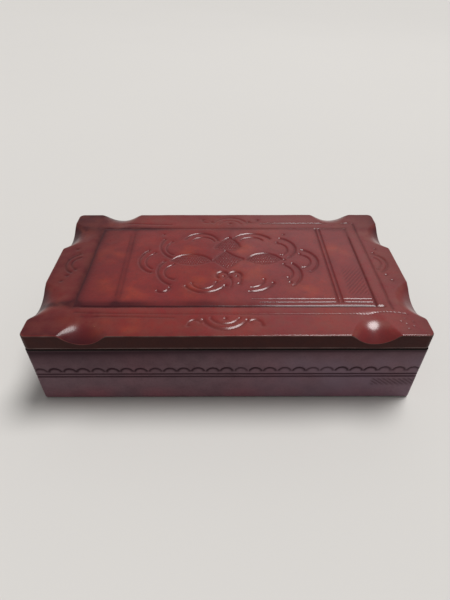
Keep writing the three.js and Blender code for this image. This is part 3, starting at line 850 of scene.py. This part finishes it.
def wall_tooling(outline, sides, heights, sizes):
    """Depth of the band round the walls, scallops over a double line, and the dye and painted light and shade
    that its material reads.
    """
    (x, y), z, rim, at_front = outline.T, heights[:, None], BODY_HIGH[2], sides == 0
    cut, stain = np.zeros((2, len(heights), len(outline)))
    for side in range(4):
        here, axis = sides == side, side % 2
        along = outline[here, axis] * (1 if side in (0, 1) else -1)
        cut[:, here], stain[:, here] = scallop_row(along, z, BODY_HIGH[axis], SCALLOP_SEED + side)
    for line in TRAM_LINES:
        cut = np.maximum(cut, 0.85 * pressed(z - line, 0.62))
        stain = np.maximum(stain, pressed(z - line, 0.75))
    # A hatched field under the band, at the right end of the front wall
    field = smooth_step(WALL_HATCH_X, WALL_HATCH_X + 4, x)
    field = field * smooth_step(WALL_HATCH_Z[0], WALL_HATCH_Z[0] + 3, z)
    field = field * smooth_step(WALL_HATCH_Z[1], WALL_HATCH_Z[1] - 2, z)
    strokes = hatched(z, x, 0.8, 1.24 * HATCH_PITCH) ** 2
    cut = np.maximum(cut, 0.75 * field * strokes * at_front)
    # Antique dye stays in the marks. Under the lid and down the upper wall, most to the left, the dye is
    # darkened as painted shade
    painted_wall_shade = 0.75 * pressed(z - rim, 8.5) * (0.75 - 0.25 * x / BODY_HIGH[0])
    painted_wall_shade = painted_wall_shade + (0.1 + 0.3 * smooth_step(60, -120, x)) * smooth_step(22, 46, z)
    patina = 1.1 * stain + 0.9 * pressed(z - rim, 2.6) + painted_wall_shade + 1.1 * cut * (stain < 0.1)
    # A grey tone on the walls, with painted sheen on the front's right, and a lighter, redder foot, partly
    # dye, partly painted light
    grey_tone_and_sheen = smooth_step(-20, 90, x) * (0.7 + 0.3 * waves(x, z, *SHEEN_WAVES)) * smooth_step(58, 40, z)
    foot_dye_and_light = smooth_step(20, 5, z) * (0.5 + 0.5 * waves(x + y, z, *FOOT_WAVES))
    ripple = sizes.ripple / MM * (0.5 + 0.5 * waves(x + y, z + y, *WALL_WAVES))
    paints = {"patina": np.clip(patina, 0, 1), "thin": foot_dye_and_light, "grey_tone_and_sheen": 0.12 + 0.5 * at_front * grey_tone_and_sheen}
    return 0.8 * sizes.groove / MM * cut + ripple, paints


# Cloth

def rimmed_line(length, thick):
    """Places along a panel, even inside and closer together over its soft rim."""
    rim = length / 2 - CLOTH_ROUND * thick * (1 - np.sin(np.linspace(0, math.pi / 2, 5)))
    steps = max(int(length / CLOTH_STEP), 4)
    return np.concatenate([-rim[::-1], np.linspace(-rim[0], rim[0], steps + 1)[1:-1], rim])


def cloth_panel(name, low, high, corner=0.0):
    """A flat piece of cloth between two corners, with soft edges.

    It is two grids that share their rim. Across the rim each face climbs a quarter
    ellipse, and the outline's corners are rounded by pulling each point of a corner's
    square in by the ratio of its larger offset to its distance.
    """
    size = high - low
    thin = int(np.argmin(size))
    flat = [axis for axis in range(3) if axis != thin]
    thick = size[thin]
    u, v = np.meshgrid(*(rimmed_line(size[axis], thick) for axis in flat))
    half_u, half_v = size[flat] / 2
    rim_off = np.minimum(half_u - np.abs(u), half_v - np.abs(v))
    swell = np.sqrt(np.clip(1 - (1 - np.clip(rim_off / (CLOTH_ROUND * thick), 0, 1)) ** 2, 0, 1))
    swell = swell * (1 - 0.08 * (0.5 + 0.5 * waves(u, v, *CLOTH_WAVES)))
    if corner:
        in_u, in_v = np.abs(u) - half_u + corner, np.abs(v) - half_v + corner
        inside = (in_u > 0) & (in_v > 0)
        pull = np.where(inside, np.maximum(in_u, in_v) / np.maximum(np.hypot(in_u, in_v), 1e-9), 1)
        u = np.where(inside, np.sign(u) * (half_u - corner + in_u * pull), u)
        v = np.where(inside, np.sign(v) * (half_v - corner + in_v * pull), v)
    on_rim = np.zeros(u.shape, bool)
    on_rim[[0, -1], :] = on_rim[:, [0, -1]] = True
    points = np.zeros((u.size, 3))
    points[:, flat] = np.stack([u.ravel(), v.ravel()], -1)
    points[:, thin] = (swell * thick / 2).ravel()
    back = points[~on_rim.ravel()]
    back[:, thin] = -thick / 2
    lower = np.where(on_rim.ravel(), np.arange(u.size), u.size - 1 + np.cumsum(~on_rim.ravel()))
    quads = grid_faces(*u.shape)
    handed = 1 if thin in (0, 2) else -1
    faces = np.concatenate([quads[:, ::handed], lower[quads][:, ::-handed]])
    return make_piece(name, np.concatenate([points, back]) + (low + high) / 2, faces.tolist())


# Materials

# How much of the wax's shine the leather has
LID_POLISH, BODY_POLISH = 0.75, 0.08


def add_node(tree, kind, inputs=(), output=0, **settings):
    """Adds a node, and sets its inputs or links them to sockets. Gives back one of its outputs."""
    node = tree.nodes.new("ShaderNode" + kind)
    for name, value in settings.items():
        setattr(node, name, value)
    for name, value in dict(inputs).items():
        if isinstance(value, bpy.types.NodeSocket):
            tree.links.new(value, node.inputs[name])
        else:
            node.inputs[name].default_value = value
    return node.outputs[output] if node.outputs else None


def named_material(name, finish, *values):
    """The material of that name, laid by its finish the first time that it is asked for.

    A finish is a function of what adds a node, of the Object coordinates and of its own values.
    """
    if name not in bpy.data.materials:
        material = bpy.data.materials.new(name)
        material.use_nodes = True
        material.node_tree.nodes.clear()
        add = functools.partial(add_node, material.node_tree)
        finish(add, add("TexCoord", output="Object"), *values)
    return bpy.data.materials[name]


def per(size):
    """Scale of a pattern on Object coordinates whose features are this many millimetres apart."""
    return 1 / (size * MM)


def ranges(low, high, least, most):
    """Settings that map a range of values to another."""
    return {"From Min": low, "From Max": high, "To Min": least, "To Max": most}


def coated(add, colour, *coats):
    """Lays coats over a colour, each given as (share, colour) or (pattern, low, high, least, most, colour).

    A coat with a pattern shows by the least share where that is low, and by the most where it is high.
    """
    for share, *span, over in coats:
        if span:
            share = add("MapRange", {"Value": share, **ranges(*span)})
        colour = add("Mix", {0: share, 6: colour, 7: over}, 2, data_type="RGBA")
    return colour


def surfaced(add, colour, relief, sockets):
    """Ends a material: its relief of (pattern, how many millimetres high), and its shader."""
    bumped = {}
    for pattern, high in relief:
        bumped["Normal"] = add("Bump", {"Height": pattern, "Distance": high * MM, "Strength": 1.0, **bumped})
    add("OutputMaterial", {"Surface": add("BsdfPrincipled", {"Base Color": colour, **sockets, **bumped})})


def tooled_calf(add, place, dye, thin_dye, antique, polish):
    """Tooled calf, dyed by hand, with an antique finish that stays in the tooling, then waxed.

    It gives the eye a soft shine over cloudy colour, darker in every hollow, lighter on
    the edges that hands have rubbed, with the pores of the hide across it. Painted into its
    colour are also shade in the gap between lid and body, under the lid and over the lid's
    left end, a sheen on the front wall, and light on the walls' foot.
    """
    # Clouds of dye are about 45 mm across, mottling 9 mm and specks 2 mm
    cloud = add("TexNoise", {"Vector": place, "Scale": per(45), "Detail": 3.0})
    mottle = add("TexNoise", {"Vector": place, "Scale": per(9), "Detail": 4.0})
    speck = add("TexNoise", {"Vector": place, "Scale": per(2.2), "Detail": 2.0})
    paints = (add("Attribute", output="Fac", attribute_name=name) for name in PAINTS)
    patina, thin, wear, burnish, grey_tone_and_sheen = paints
    cloudy = add("MapRange", {"Value": cloud, **ranges(0.4, 0.66, 0, 0.3)})
    uneven = add("MapRange", {"Value": mottle, **ranges(0.38, 0.62, 0.1, 0.75)})
    # Over the dye: a grey tone with painted sheen, antique dye with painted shade, and near-black edge dye
    # that is painted shade between lid and body
    colour = coated(
        add, dye, (add("Math", {0: cloudy, 1: thin}, operation="MAXIMUM"), thin_dye),
        (mottle, 0.35, 0.75, 0, 0.3, antique), (speck, 0.5, 0.8, 0, 0.25, antique),
        (grey_tone_and_sheen, linear("#7C6877")), (patina, antique), (burnish, linear("#0E0706")),
        (add("Math", {0: wear, 1: uneven}, operation="MULTIPLY"), linear("#7E4034")),
    )
    # Pores of calf are about 0.8 mm apart. They are drawn at 1.3 mm so that they show
    pores = add("TexVoronoi", {"Vector": place, "Scale": per(1.3)}, feature="F1")
    creases = add("TexNoise", {"Vector": place, "Scale": per(5), "Detail": 5.0, "Roughness": 0.6})
    dull = add("MapRange", {"Value": mottle, **ranges(0.3, 0.7, 0.24, 0.34)})
    # Wax doesn't reach into the hollows, so they shine less
    wax = add("Math", {0: patina, 1: -0.75 * polish, 2: polish}, operation="MULTIPLY_ADD")
    surfaced(add, colour, [(pores, 0.05), (creases, 0.14)], {
        "Roughness": add("Math", {0: patina, 1: 0.08, 2: dull}, operation="MULTIPLY_ADD"),
        "IOR": 1.5, "Specular IOR Level": 0.06, "Coat Weight": wax, "Coat Roughness": 0.2,
    })


def burnished_edge(add, place, stain):
    """Leather edge, stained black-brown and rubbed with a bone: smooth and dull, with a thin light grey line.
    """
    mottle = add("TexNoise", {"Vector": place, "Scale": per(9), "Detail": 4.0})
    creases = add("TexNoise", {"Vector": place, "Scale": per(5), "Detail": 5.0, "Roughness": 0.6})
    wear = add("Attribute", output="Fac", attribute_name="wear")
    uneven = add("MapRange", {"Value": mottle, **ranges(0.38, 0.62, 0.4, 0.9)})
    grey_line = add("Math", {0: wear, 1: uneven}, operation="MULTIPLY")
    colour = coated(add, stain, (mottle, 0.4, 0.7, 0, 0.5, linear("#44211D")), (grey_line, linear("#7C6C68")))
    dull = add("MapRange", {"Value": mottle, **ranges(0.3, 0.7, 0.42, 0.54)})
    surfaced(add, colour, [(creases, 0.14)], {"Roughness": dull, "IOR": 1.5, "Specular IOR Level": 0.1})


def planed_cedar(add, place, pale, grain):
    """Planed cedar with its grain along one axis: pale brown with darker rings and fine fibres."""
    # Across the grain the rings are 8 mm apart and the fibres 1 mm. Both are nine times longer along it
    squeeze = [1 if axis == grain else 9 for axis in range(3)]
    along_grain = add("Mapping", {"Vector": place, "Scale": squeeze})
    rings = add("TexNoise", {"Vector": along_grain, "Scale": per(70), "Detail": 3.0, "Roughness": 0.6})
    fibres = add("TexNoise", {"Vector": along_grain, "Scale": per(9), "Detail": 4.0})
    dark = linear("#7E5530")
    colour = coated(add, pale, (rings, 0.4, 0.6, 0, 1, dark), (fibres, 0.4, 0.7, 0, 0.35, dark))
    surfaced(add, colour, [(fibres, 0.08)], {"Roughness": 0.62, "IOR": 1.5})


def aged_brass(add, place, brass):
    """Drawn brass, filed and left to tarnish: warm metal with brown film and fine file marks."""
    # File marks are about 6 mm long and 0.4 mm apart
    along_file = add("Mapping", {"Vector": place, "Scale": [1, 14, 14]})
    marks = add("TexNoise", {"Vector": along_file, "Scale": per(6), "Detail": 3.0})
    tarnish = add("TexNoise", {"Vector": place, "Scale": per(5), "Detail": 4.0, "Roughness": 0.6})
    film = add("MapRange", {"Value": tarnish, **ranges(0.42, 0.68, 0, 1)})
    rough = add("Math", {0: film, 1: 0.18, 2: 0.3}, operation="MULTIPLY_ADD")
    colour = coated(add, brass, (film, linear("#5B4426")))
    surfaced(add, colour, [(marks, 0.03)], {"Metallic": 1.0, "Roughness": rough})


def wool_baize(add, place, green):
    """Milled wool baize: a matt green cloth whose nap hides its weave and dusts its edges with light."""
    # Fibres of the nap are too fine to show. They are drawn as tufts about 1.1 mm apart
    nap = add("TexNoise", {"Vector": place, "Scale": per(1.1), "Detail": 3.0, "Roughness": 0.7})
    lay = add("TexNoise", {"Vector": place, "Scale": per(14), "Detail": 3.0})
    deep, bright = linear("#1F382A"), linear("#56755C")
    colour = coated(add, green, (lay, 0.35, 0.65, 0, 0.35, deep), (nap, 0.45, 0.75, 0, 0.35, bright))
    surfaced(add, colour, [(nap, 0.25)], {
        "Roughness": 0.95, "IOR": 1.45, "Sheen Weight": 0.35, "Sheen Roughness": 0.4,
    })


def matt_paper(add, place, pale):
    """Matt background paper: pale and even, with the faintest dapple, so that shadows read on it."""
    dapple = add("TexNoise", {"Vector": place, "Scale": per(400), "Detail": 2.0})
    colour = coated(add, pale, (dapple, 0.3, 0.7, 0, 0.04, linear("#B9B6B2")))
    surfaced(add, colour, [(dapple, 0.01)], {"Roughness": 0.9, "IOR": 1.4})


def finish_with(piece, *materials):
    """Gives a piece or a CAD node its materials."""
    piece.data.materials.clear()
    for material in materials:
        piece.data.materials.append(material)


def stand_for(piece, node, body):
    """Has a piece stand for a node of the frame, and ride its body."""
    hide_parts(node)
    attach(piece, body)


def lid_calf(colours):
    """The lid's tooled calf, waxed more than the walls."""
    dyes = colours.oxblood, colours.russet, colours.patina
    return named_material("tooled_calf_lid", tooled_calf, *dyes, LID_POLISH)


def lay_baize(node, body, corner=0.0):
    """Lays a sheet of baize flat on its board, in the place of a node."""
    low, high = box_of(node)
    piece = cloth_panel(f"{node}_cloth", low, high, corner)
    finish_with(piece, named_material("wool_baize", wool_baize, bpy.context.scene.leather_box_colours.baize))
    stand_for(piece, node, body)


# Operators: one for each piece or group of like pieces

class LidMiddle(bpy.types.Operator):
    """Lays the tooled middle of the lid, inside the frame line"""

    bl_idname = "leather_box.lid_middle"
    bl_label = "Lid Middle"

    def execute(self, context):
        sizes, colours = context.scene.leather_box_sizes, context.scene.leather_box_colours
        x, y = np.meshgrid(np.linspace(*FRAME_X, MIDDLE_COLUMNS), np.linspace(*FRAME_Y, MIDDLE_ROWS))
        height, _, paints = lid_surface(x, y, sizes)
        seat = LID_HIGH[2] - sizes.leather / MM - MIDDLE_SEAT
        piece = sheet_piece("lid_leather_middle", np.stack([x, y, height], -1), seat)
        unseen = np.zeros(len(piece.data.vertices) - x.size)
        for name in PAINTS:
            paint(piece, name, np.concatenate([paints.get(name, np.zeros(x.shape)).ravel(), unseen]))
        piece.data.set_sharp_from_angle(angle=SHARP)
        finish_with(piece, lid_calf(colours))
        stand_for(piece, "lid_leather", "lid")
        return {"FINISHED"}


class LidBorder(bpy.types.Operator):
    """Lays the lid's border, from the frame line out over the scoops, round the edge and in below"""

    bl_idname = "leather_box.lid_border"
    bl_label = "Lid Border"

    def execute(self, context):
        sizes, colours = context.scene.leather_box_sizes, context.scene.leather_box_colours
        skin, softness = sizes.leather / MM, sizes.shoulder / MM
        low, high = LID_LOW[2], LID_HIGH[2]
        outline, outward, sides = ring_columns(LID_HIGH, sizes.corner / MM, LID_STEP)
        middle = onto_rectangle(outline, sides, FRAME_LOW, FRAME_HIGH, 0.6)
        # The arris is crisper where a scoop cuts it
        cut_away = smooth_step(-0.8, -4, scooped(*outline.T, softness))
        arris = sizes.lid_edge / MM * (1 - 0.72 * cut_away)
        ring = RingRows()

        # Upper face, worn where it rolls over into a scoop
        places = between(middle, outline - arris[:, None] * outward, np.linspace(0, 1, BORDER_ROWS))
        height, scoop, paints = lid_surface(places[..., 0], places[..., 1], sizes)
        ring.add(places, height, wear=0.5 * pressed(scoop + 0.9, 1.1), **paints)
        # Rounded edge
        turn = quarter_turn(5)
        places = pulled_in(outline, outward, arris * (1 - np.sin(turn))[:, None])
        height, _, paints = lid_surface(places[..., 0], places[..., 1], sizes)
        height = height - arris * (1 - np.cos(turn))[:, None]
        burnish = smooth_step(0.35, 0.95, turn / turn[-1])[:, None]
        paints["patina"] = 0.5 * paints["patina"]
        ring.add(places, height, wear=0.5 * (1 - burnish), burnish=burnish, **paints)
        # Side, whose dark edge starts within the rounded edge
        side_first, lower = ring.count() - 4, low + LOWER_ROUND
        shares = SIDE_SHARES[:, None]
        # One row near the side's foot takes a thin light grey line
        wear = 0.9 * (shares == GREY_LINE_SHARE)
        ring.add(outline, height[-1] * (1 - shares) + lower * shares, burnish=1, wear=wear)
        side_last = ring.count()
        # Lower edge, turned in below, and its cut edge
        turn = quarter_turn(3)
        places = pulled_in(outline, outward, LOWER_ROUND * (1 - np.cos(turn)))
        # Near-black all round: the edge dye, and painted shade in the gap over the body
        ring.add(places, lower - LOWER_ROUND * np.sin(turn), burnish=1)
        inner = LID_HIGH[:2] - LID_TURN_IN
        turned = onto_rectangle(outline, sides, -inner, inner)
        depths = np.array([*LID_DEPTHS, *housing_rows(LID_HIGH), LID_TURN_IN - CUT_ROUND])
        shares = (depths - LOWER_ROUND) / (LID_TURN_IN - LOWER_ROUND)
        below = between(outline - LOWER_ROUND * outward, turned, shares)
        ring.add(below, low, patina=0.4)
        ring.add(turned, [low + CUT_ROUND, low + CUT_HIGH], patina=0.4)
        outer_rows = ring.count()
        # Inside, against the board
        inner_low, board = low + TURNED_SKIN, outline - skin * outward
        ring.add(below[::-1], inner_low)
        edge = np.maximum(scooped(*outline.T, softness) + high - skin, inner_low + 0.4)
        shares = np.linspace(0, 1, 4)[:, None]
        ring.add(board, inner_low * (1 - shares) + edge * shares)
        places = between(board, middle, np.linspace(0, 1, 11)[1:])
        ring.add(places, scooped(places[..., 0], places[..., 1], softness) + high - skin)

        piece = ring.make("lid_leather_border", outer_rows, 1, skin)
        piece.data.set_sharp_from_angle(angle=SHARP)
        finish_with(piece, lid_calf(colours), named_material("burnished_edge", burnished_edge, colours.edge))
        row = np.arange(len(piece.data.polygons)) // len(outline)
        on_side = (row >= side_first) & (row < side_last)
        piece.data.polygons.foreach_set("material_index", on_side.astype(np.int32))
        stand_for(piece, "lid_leather", "lid")
        return {"FINISHED"}


class BodyLeather(bpy.types.Operator):
    """Lays the body's leather over the rim, down the walls with their tooled band, and in below"""

    bl_idname = "leather_box.body_leather"
    bl_label = "Body Leather"

    def execute(self, context):
        sizes, colours = context.scene.leather_box_sizes, context.scene.leather_box_colours
        skin, rim, low = sizes.leather / MM, BODY_HIGH[2], BODY_LOW[2]
        outline, outward, sides = ring_columns(BODY_HIGH, sizes.body_corner / MM, BODY_STEP)
        opening = BODY_HIGH[:2] - RIM_WIDTH
        mouth = onto_rectangle(outline, sides, -opening, opening)
        ring = RingRows()

        def at_depths(depths):
            """Rows on the rim, at depths in from the outside."""
            shares = (np.asarray(depths) - RIM_ROUND) / (RIM_WIDTH - RIM_ROUND)
            return between(outline - RIM_ROUND * outward, mouth, shares)

        # Turned down inside, over the rim, and its rounded edge
        ring.add(mouth, [rim - RIM_TURN, rim - 5, rim - 2.4, rim - RIM_ROUND], patina=0.3)
        ring.add(at_depths([RIM_WIDTH - CUT_ROUND]), rim - 0.2, patina=0.35)
        depths = [RIM_WIDTH - RIM_ROUND, *housing_rows(BODY_HIGH)[::-1], *RIM_DEPTHS, RIM_ROUND]
        ring.add(at_depths(depths), rim, patina=0.35)
        turn = quarter_turn(3)
        places = pulled_in(outline, outward, RIM_ROUND * (1 - np.sin(turn)))
        # Its rounded edge is near-black: painted shade in the gap under the lid
        ring.add(places, rim - RIM_ROUND * (1 - np.cos(turn)), burnish=1)
        # Walls
        heights = np.concatenate([
            np.linspace(rim - 2.2, BAND_HIGH, 8, endpoint=False), np.linspace(BAND_HIGH, BAND_LOW, 31),
            np.linspace(BAND_LOW, PLAIN_LOW, 13)[1:], np.linspace(PLAIN_LOW, low + BASE_ROUND, 5)[1:],
        ])
        cut, paints = wall_tooling(outline, sides, heights, sizes)
        ring.add(pulled_in(outline, outward, cut), heights, **paints)
        # Lower edge, turned in below, and its cut edge
        turn = quarter_turn(4)
        places = pulled_in(outline, outward, BASE_ROUND * (1 - np.cos(turn)))
        ring.add(places, low + BASE_ROUND * (1 - np.sin(turn)), patina=0.3, thin=0.5, wear=0.3)
        inner = BODY_HIGH[:2] - BASE_TURN_IN
        turned = onto_rectangle(outline, sides, -inner, inner)
        below = between(outline - BASE_ROUND * outward, turned, BASE_SHARES)
        ring.add(below, low, patina=0.4)
        ring.add(turned, [low + 0.5], patina=0.4)
        outer_rows = ring.count()
        # Inside, against the boards
        ring.add(below[::-1], low + TURNED_SKIN)
        heights = [low + TURNED_SKIN + 0.1, 20, 40, 52, rim - TURNED_SKIN - 0.1]
        ring.add(outline - skin * outward, heights)
        lined = at_depths([4.4, *housing_rows(BODY_HIGH), RIM_WIDTH - TURNED_SKIN])
        ring.add(lined, rim - TURNED_SKIN)
        ring.add(lined[-1], [rim - RIM_TURN])

        piece = ring.make("body_leather_skin", outer_rows, -1, skin)
        piece.data.set_sharp_from_angle(angle=SHARP)
        dyes = colours.body, colours.body_thin, colours.body_patina
        finish_with(piece, named_material("tooled_calf_body", tooled_calf, *dyes, BODY_POLISH))
        stand_for(piece, "body_leather", "box")
        return {"FINISHED"}


class Linings(bpy.types.Operator):
    """Lines the box and the lid with baize"""

    bl_idname = "leather_box.linings"
    bl_label = "Linings"

    def execute(self, context):
        for wall in ("front", "back", "left", "right"):
            lay_baize(f"lining_{wall}", "box")
        lay_baize("lining_floor", "box")
        lay_baize("lid_lining", "lid")
        return {"FINISHED"}


class BaseCover(bpy.types.Operator):
    """Covers the underside with baize"""

    bl_idname = "leather_box.base_cover"
    bl_label = "Base Cover"

    def execute(self, context):
        corner = context.scene.leather_box_sizes.body_corner / MM
        lay_baize("base_cover", "box", corner)
        return {"FINISHED"}


class Timber(bpy.types.Operator):
    """Gives the boards their cedar, with the grain along each board"""

    bl_idname = "leather_box.timber"
    bl_label = "Timber"

    def execute(self, context):
        cedar = context.scene.leather_box_colours.cedar
        for name, node in frame["nodes"].items():
            if name.endswith(("_board", "_panel")):
                grain = 1 if name in ("left_board", "right_board") else 0
                finish_with(node, named_material(f"planed_cedar_{'xy'[grain]}", planed_cedar, cedar, grain))
        return {"FINISHED"}


class Hinges(bpy.types.Operator):
    """Gives the hinges, pins and screws their aged brass"""

    bl_idname = "leather_box.hinges"
    bl_label = "Hinges"

    def execute(self, context):
        brass = named_material("aged_brass", aged_brass, context.scene.leather_box_colours.brass)
        for name, node in frame["nodes"].items():
            if name.startswith("hinge_"):
                finish_with(node, brass)
        return {"FINISHED"}


def hung_lamp(name, kind, power, source, **settings):
    """A lamp that shines from its source's direction onto the box."""
    lamp = bpy.data.lights.new(name, kind)
    lamp.energy = power
    for field, value in settings.items():
        setattr(lamp, field, value)
    holder = bpy.data.objects.new(name, lamp)
    holder.rotation_euler = Vector(source).to_track_quat("Z", "Y").to_euler()
    bpy.context.scene.collection.objects.link(holder)
    return holder


def studio_sky(stage):
    """A world that lights softly all round, and shows its backdrop to the camera and in reflections."""
    world = bpy.data.worlds.new("studio")
    world.use_nodes = True
    world.node_tree.nodes.clear()
    add = functools.partial(add_node, world.node_tree)
    path = add("LightPath").node.outputs
    seen = add("Math", {0: path["Is Camera Ray"], 1: path["Is Glossy Ray"]}, operation="MAXIMUM")
    seen = add("Math", {0: seen, 1: path["Is Transmission Ray"]}, operation="MAXIMUM")
    backdrop = add("Background", {"Color": stage.backdrop, "Strength": 1.0})
    sky = add("Background", {"Color": (1, 1, 1, 1), "Strength": stage.sky})
    add("OutputWorld", {"Surface": add("MixShader", {0: seen, 1: sky, 2: backdrop})})
    return world


class Stage(bpy.types.Operator):
    """Sets the floor, the lamps, the sky and the camera"""

    bl_idname = "leather_box.stage"
    bl_label = "Stage"

    def execute(self, context):
        scene, stage = context.scene, context.scene.leather_box_stage
        reach = FLOOR_REACH / MM
        corners = [[-reach, -reach, 0], [reach, -reach, 0], [reach, reach, 0], [-reach, reach, 0]]
        floor = make_piece("floor", corners, [[0, 1, 2, 3]], smooth=False)
        finish_with(floor, named_material("matt_paper", matt_paper, stage.floor))
        floor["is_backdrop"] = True

        hung_lamp("key_lamp", "SUN", stage.key, KEY_FROM, angle=KEY_SPREAD)
        width, height = PANEL_SIZE
        panel = hung_lamp(
            "panel_lamp", "AREA", stage.panel, PANEL_FROM, shape="RECTANGLE", size=width, size_y=height
        )
        panel.location, panel.visible_camera = PANEL_FROM, False
        scene.world = studio_sky(stage)

        camera = bpy.data.cameras.new("camera")
        camera.lens, camera.sensor_width, camera.sensor_fit = stage.lens, SENSOR, "AUTO"
        camera.clip_start, camera.clip_end = 0.01, 100
        taker = bpy.data.objects.new("camera", camera)
        turn = Matrix.Rotation(-stage.yaw, 4, "Z") @ Matrix.Rotation(math.pi / 2 - stage.pitch, 4, "X")
        taker.matrix_world = Matrix.Translation(stage.camera) @ turn @ Matrix.Rotation(stage.roll, 4, "Z")
        scene.collection.objects.link(taker)
        scene.camera = taker
        scene.view_settings.view_transform = "Standard"
        return {"FINISHED"}


class LeatherBoxPanel(bpy.types.Panel):
    """Lists the pieces and their sizes and colours"""

    bl_idname = "VIEW3D_PT_leather_box"
    bl_label = "Leather Box"
    bl_space_type = "VIEW_3D"
    bl_region_type = "UI"
    bl_category = "Leather Box"

    def draw(self, context):
        for piece in PIECES:
            self.layout.operator(piece.bl_idname)
        for name in GROUPS:
            group = getattr(context.scene, name)
            box = self.layout.box()
            for field in group.bl_rna.properties:
                if field.identifier not in ("name", "rna_type"):
                    box.prop(group, field.identifier)


PIECES = (LidMiddle, LidBorder, BodyLeather, Linings, BaseCover, Timber, Hinges, Stage)
GROUPS = {
    "leather_box_sizes": LeatherBoxSizes,
    "leather_box_colours": LeatherBoxColours,
    "leather_box_stage": LeatherBoxStage,
}


def register():
    """Registers every class, and gives the scene its properties."""
    for kind in (*GROUPS.values(), *PIECES, LeatherBoxPanel):
        bpy.utils.register_class(kind)
    for name, kind in GROUPS.items():
        setattr(bpy.types.Scene, name, bpy.props.PointerProperty(type=kind))


def unregister():
    """Takes the properties and classes away again."""
    for name in GROUPS:
        delattr(bpy.types.Scene, name)
    for kind in (LeatherBoxPanel, *reversed(PIECES), *reversed(GROUPS.values())):
        bpy.utils.unregister_class(kind)


def main():
    """Makes every piece in order."""
    register()
    for piece in PIECES:
        group, name = piece.bl_idname.split(".")
        getattr(getattr(bpy.ops, group), name)()
    bpy.context.view_layer.update()
    sizes = {"cad": CAD_BOX, "visual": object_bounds()}
    {name: [list(corner) for corner in box] for name, box in sizes.items()}


if __name__ == "__main__":
    main()
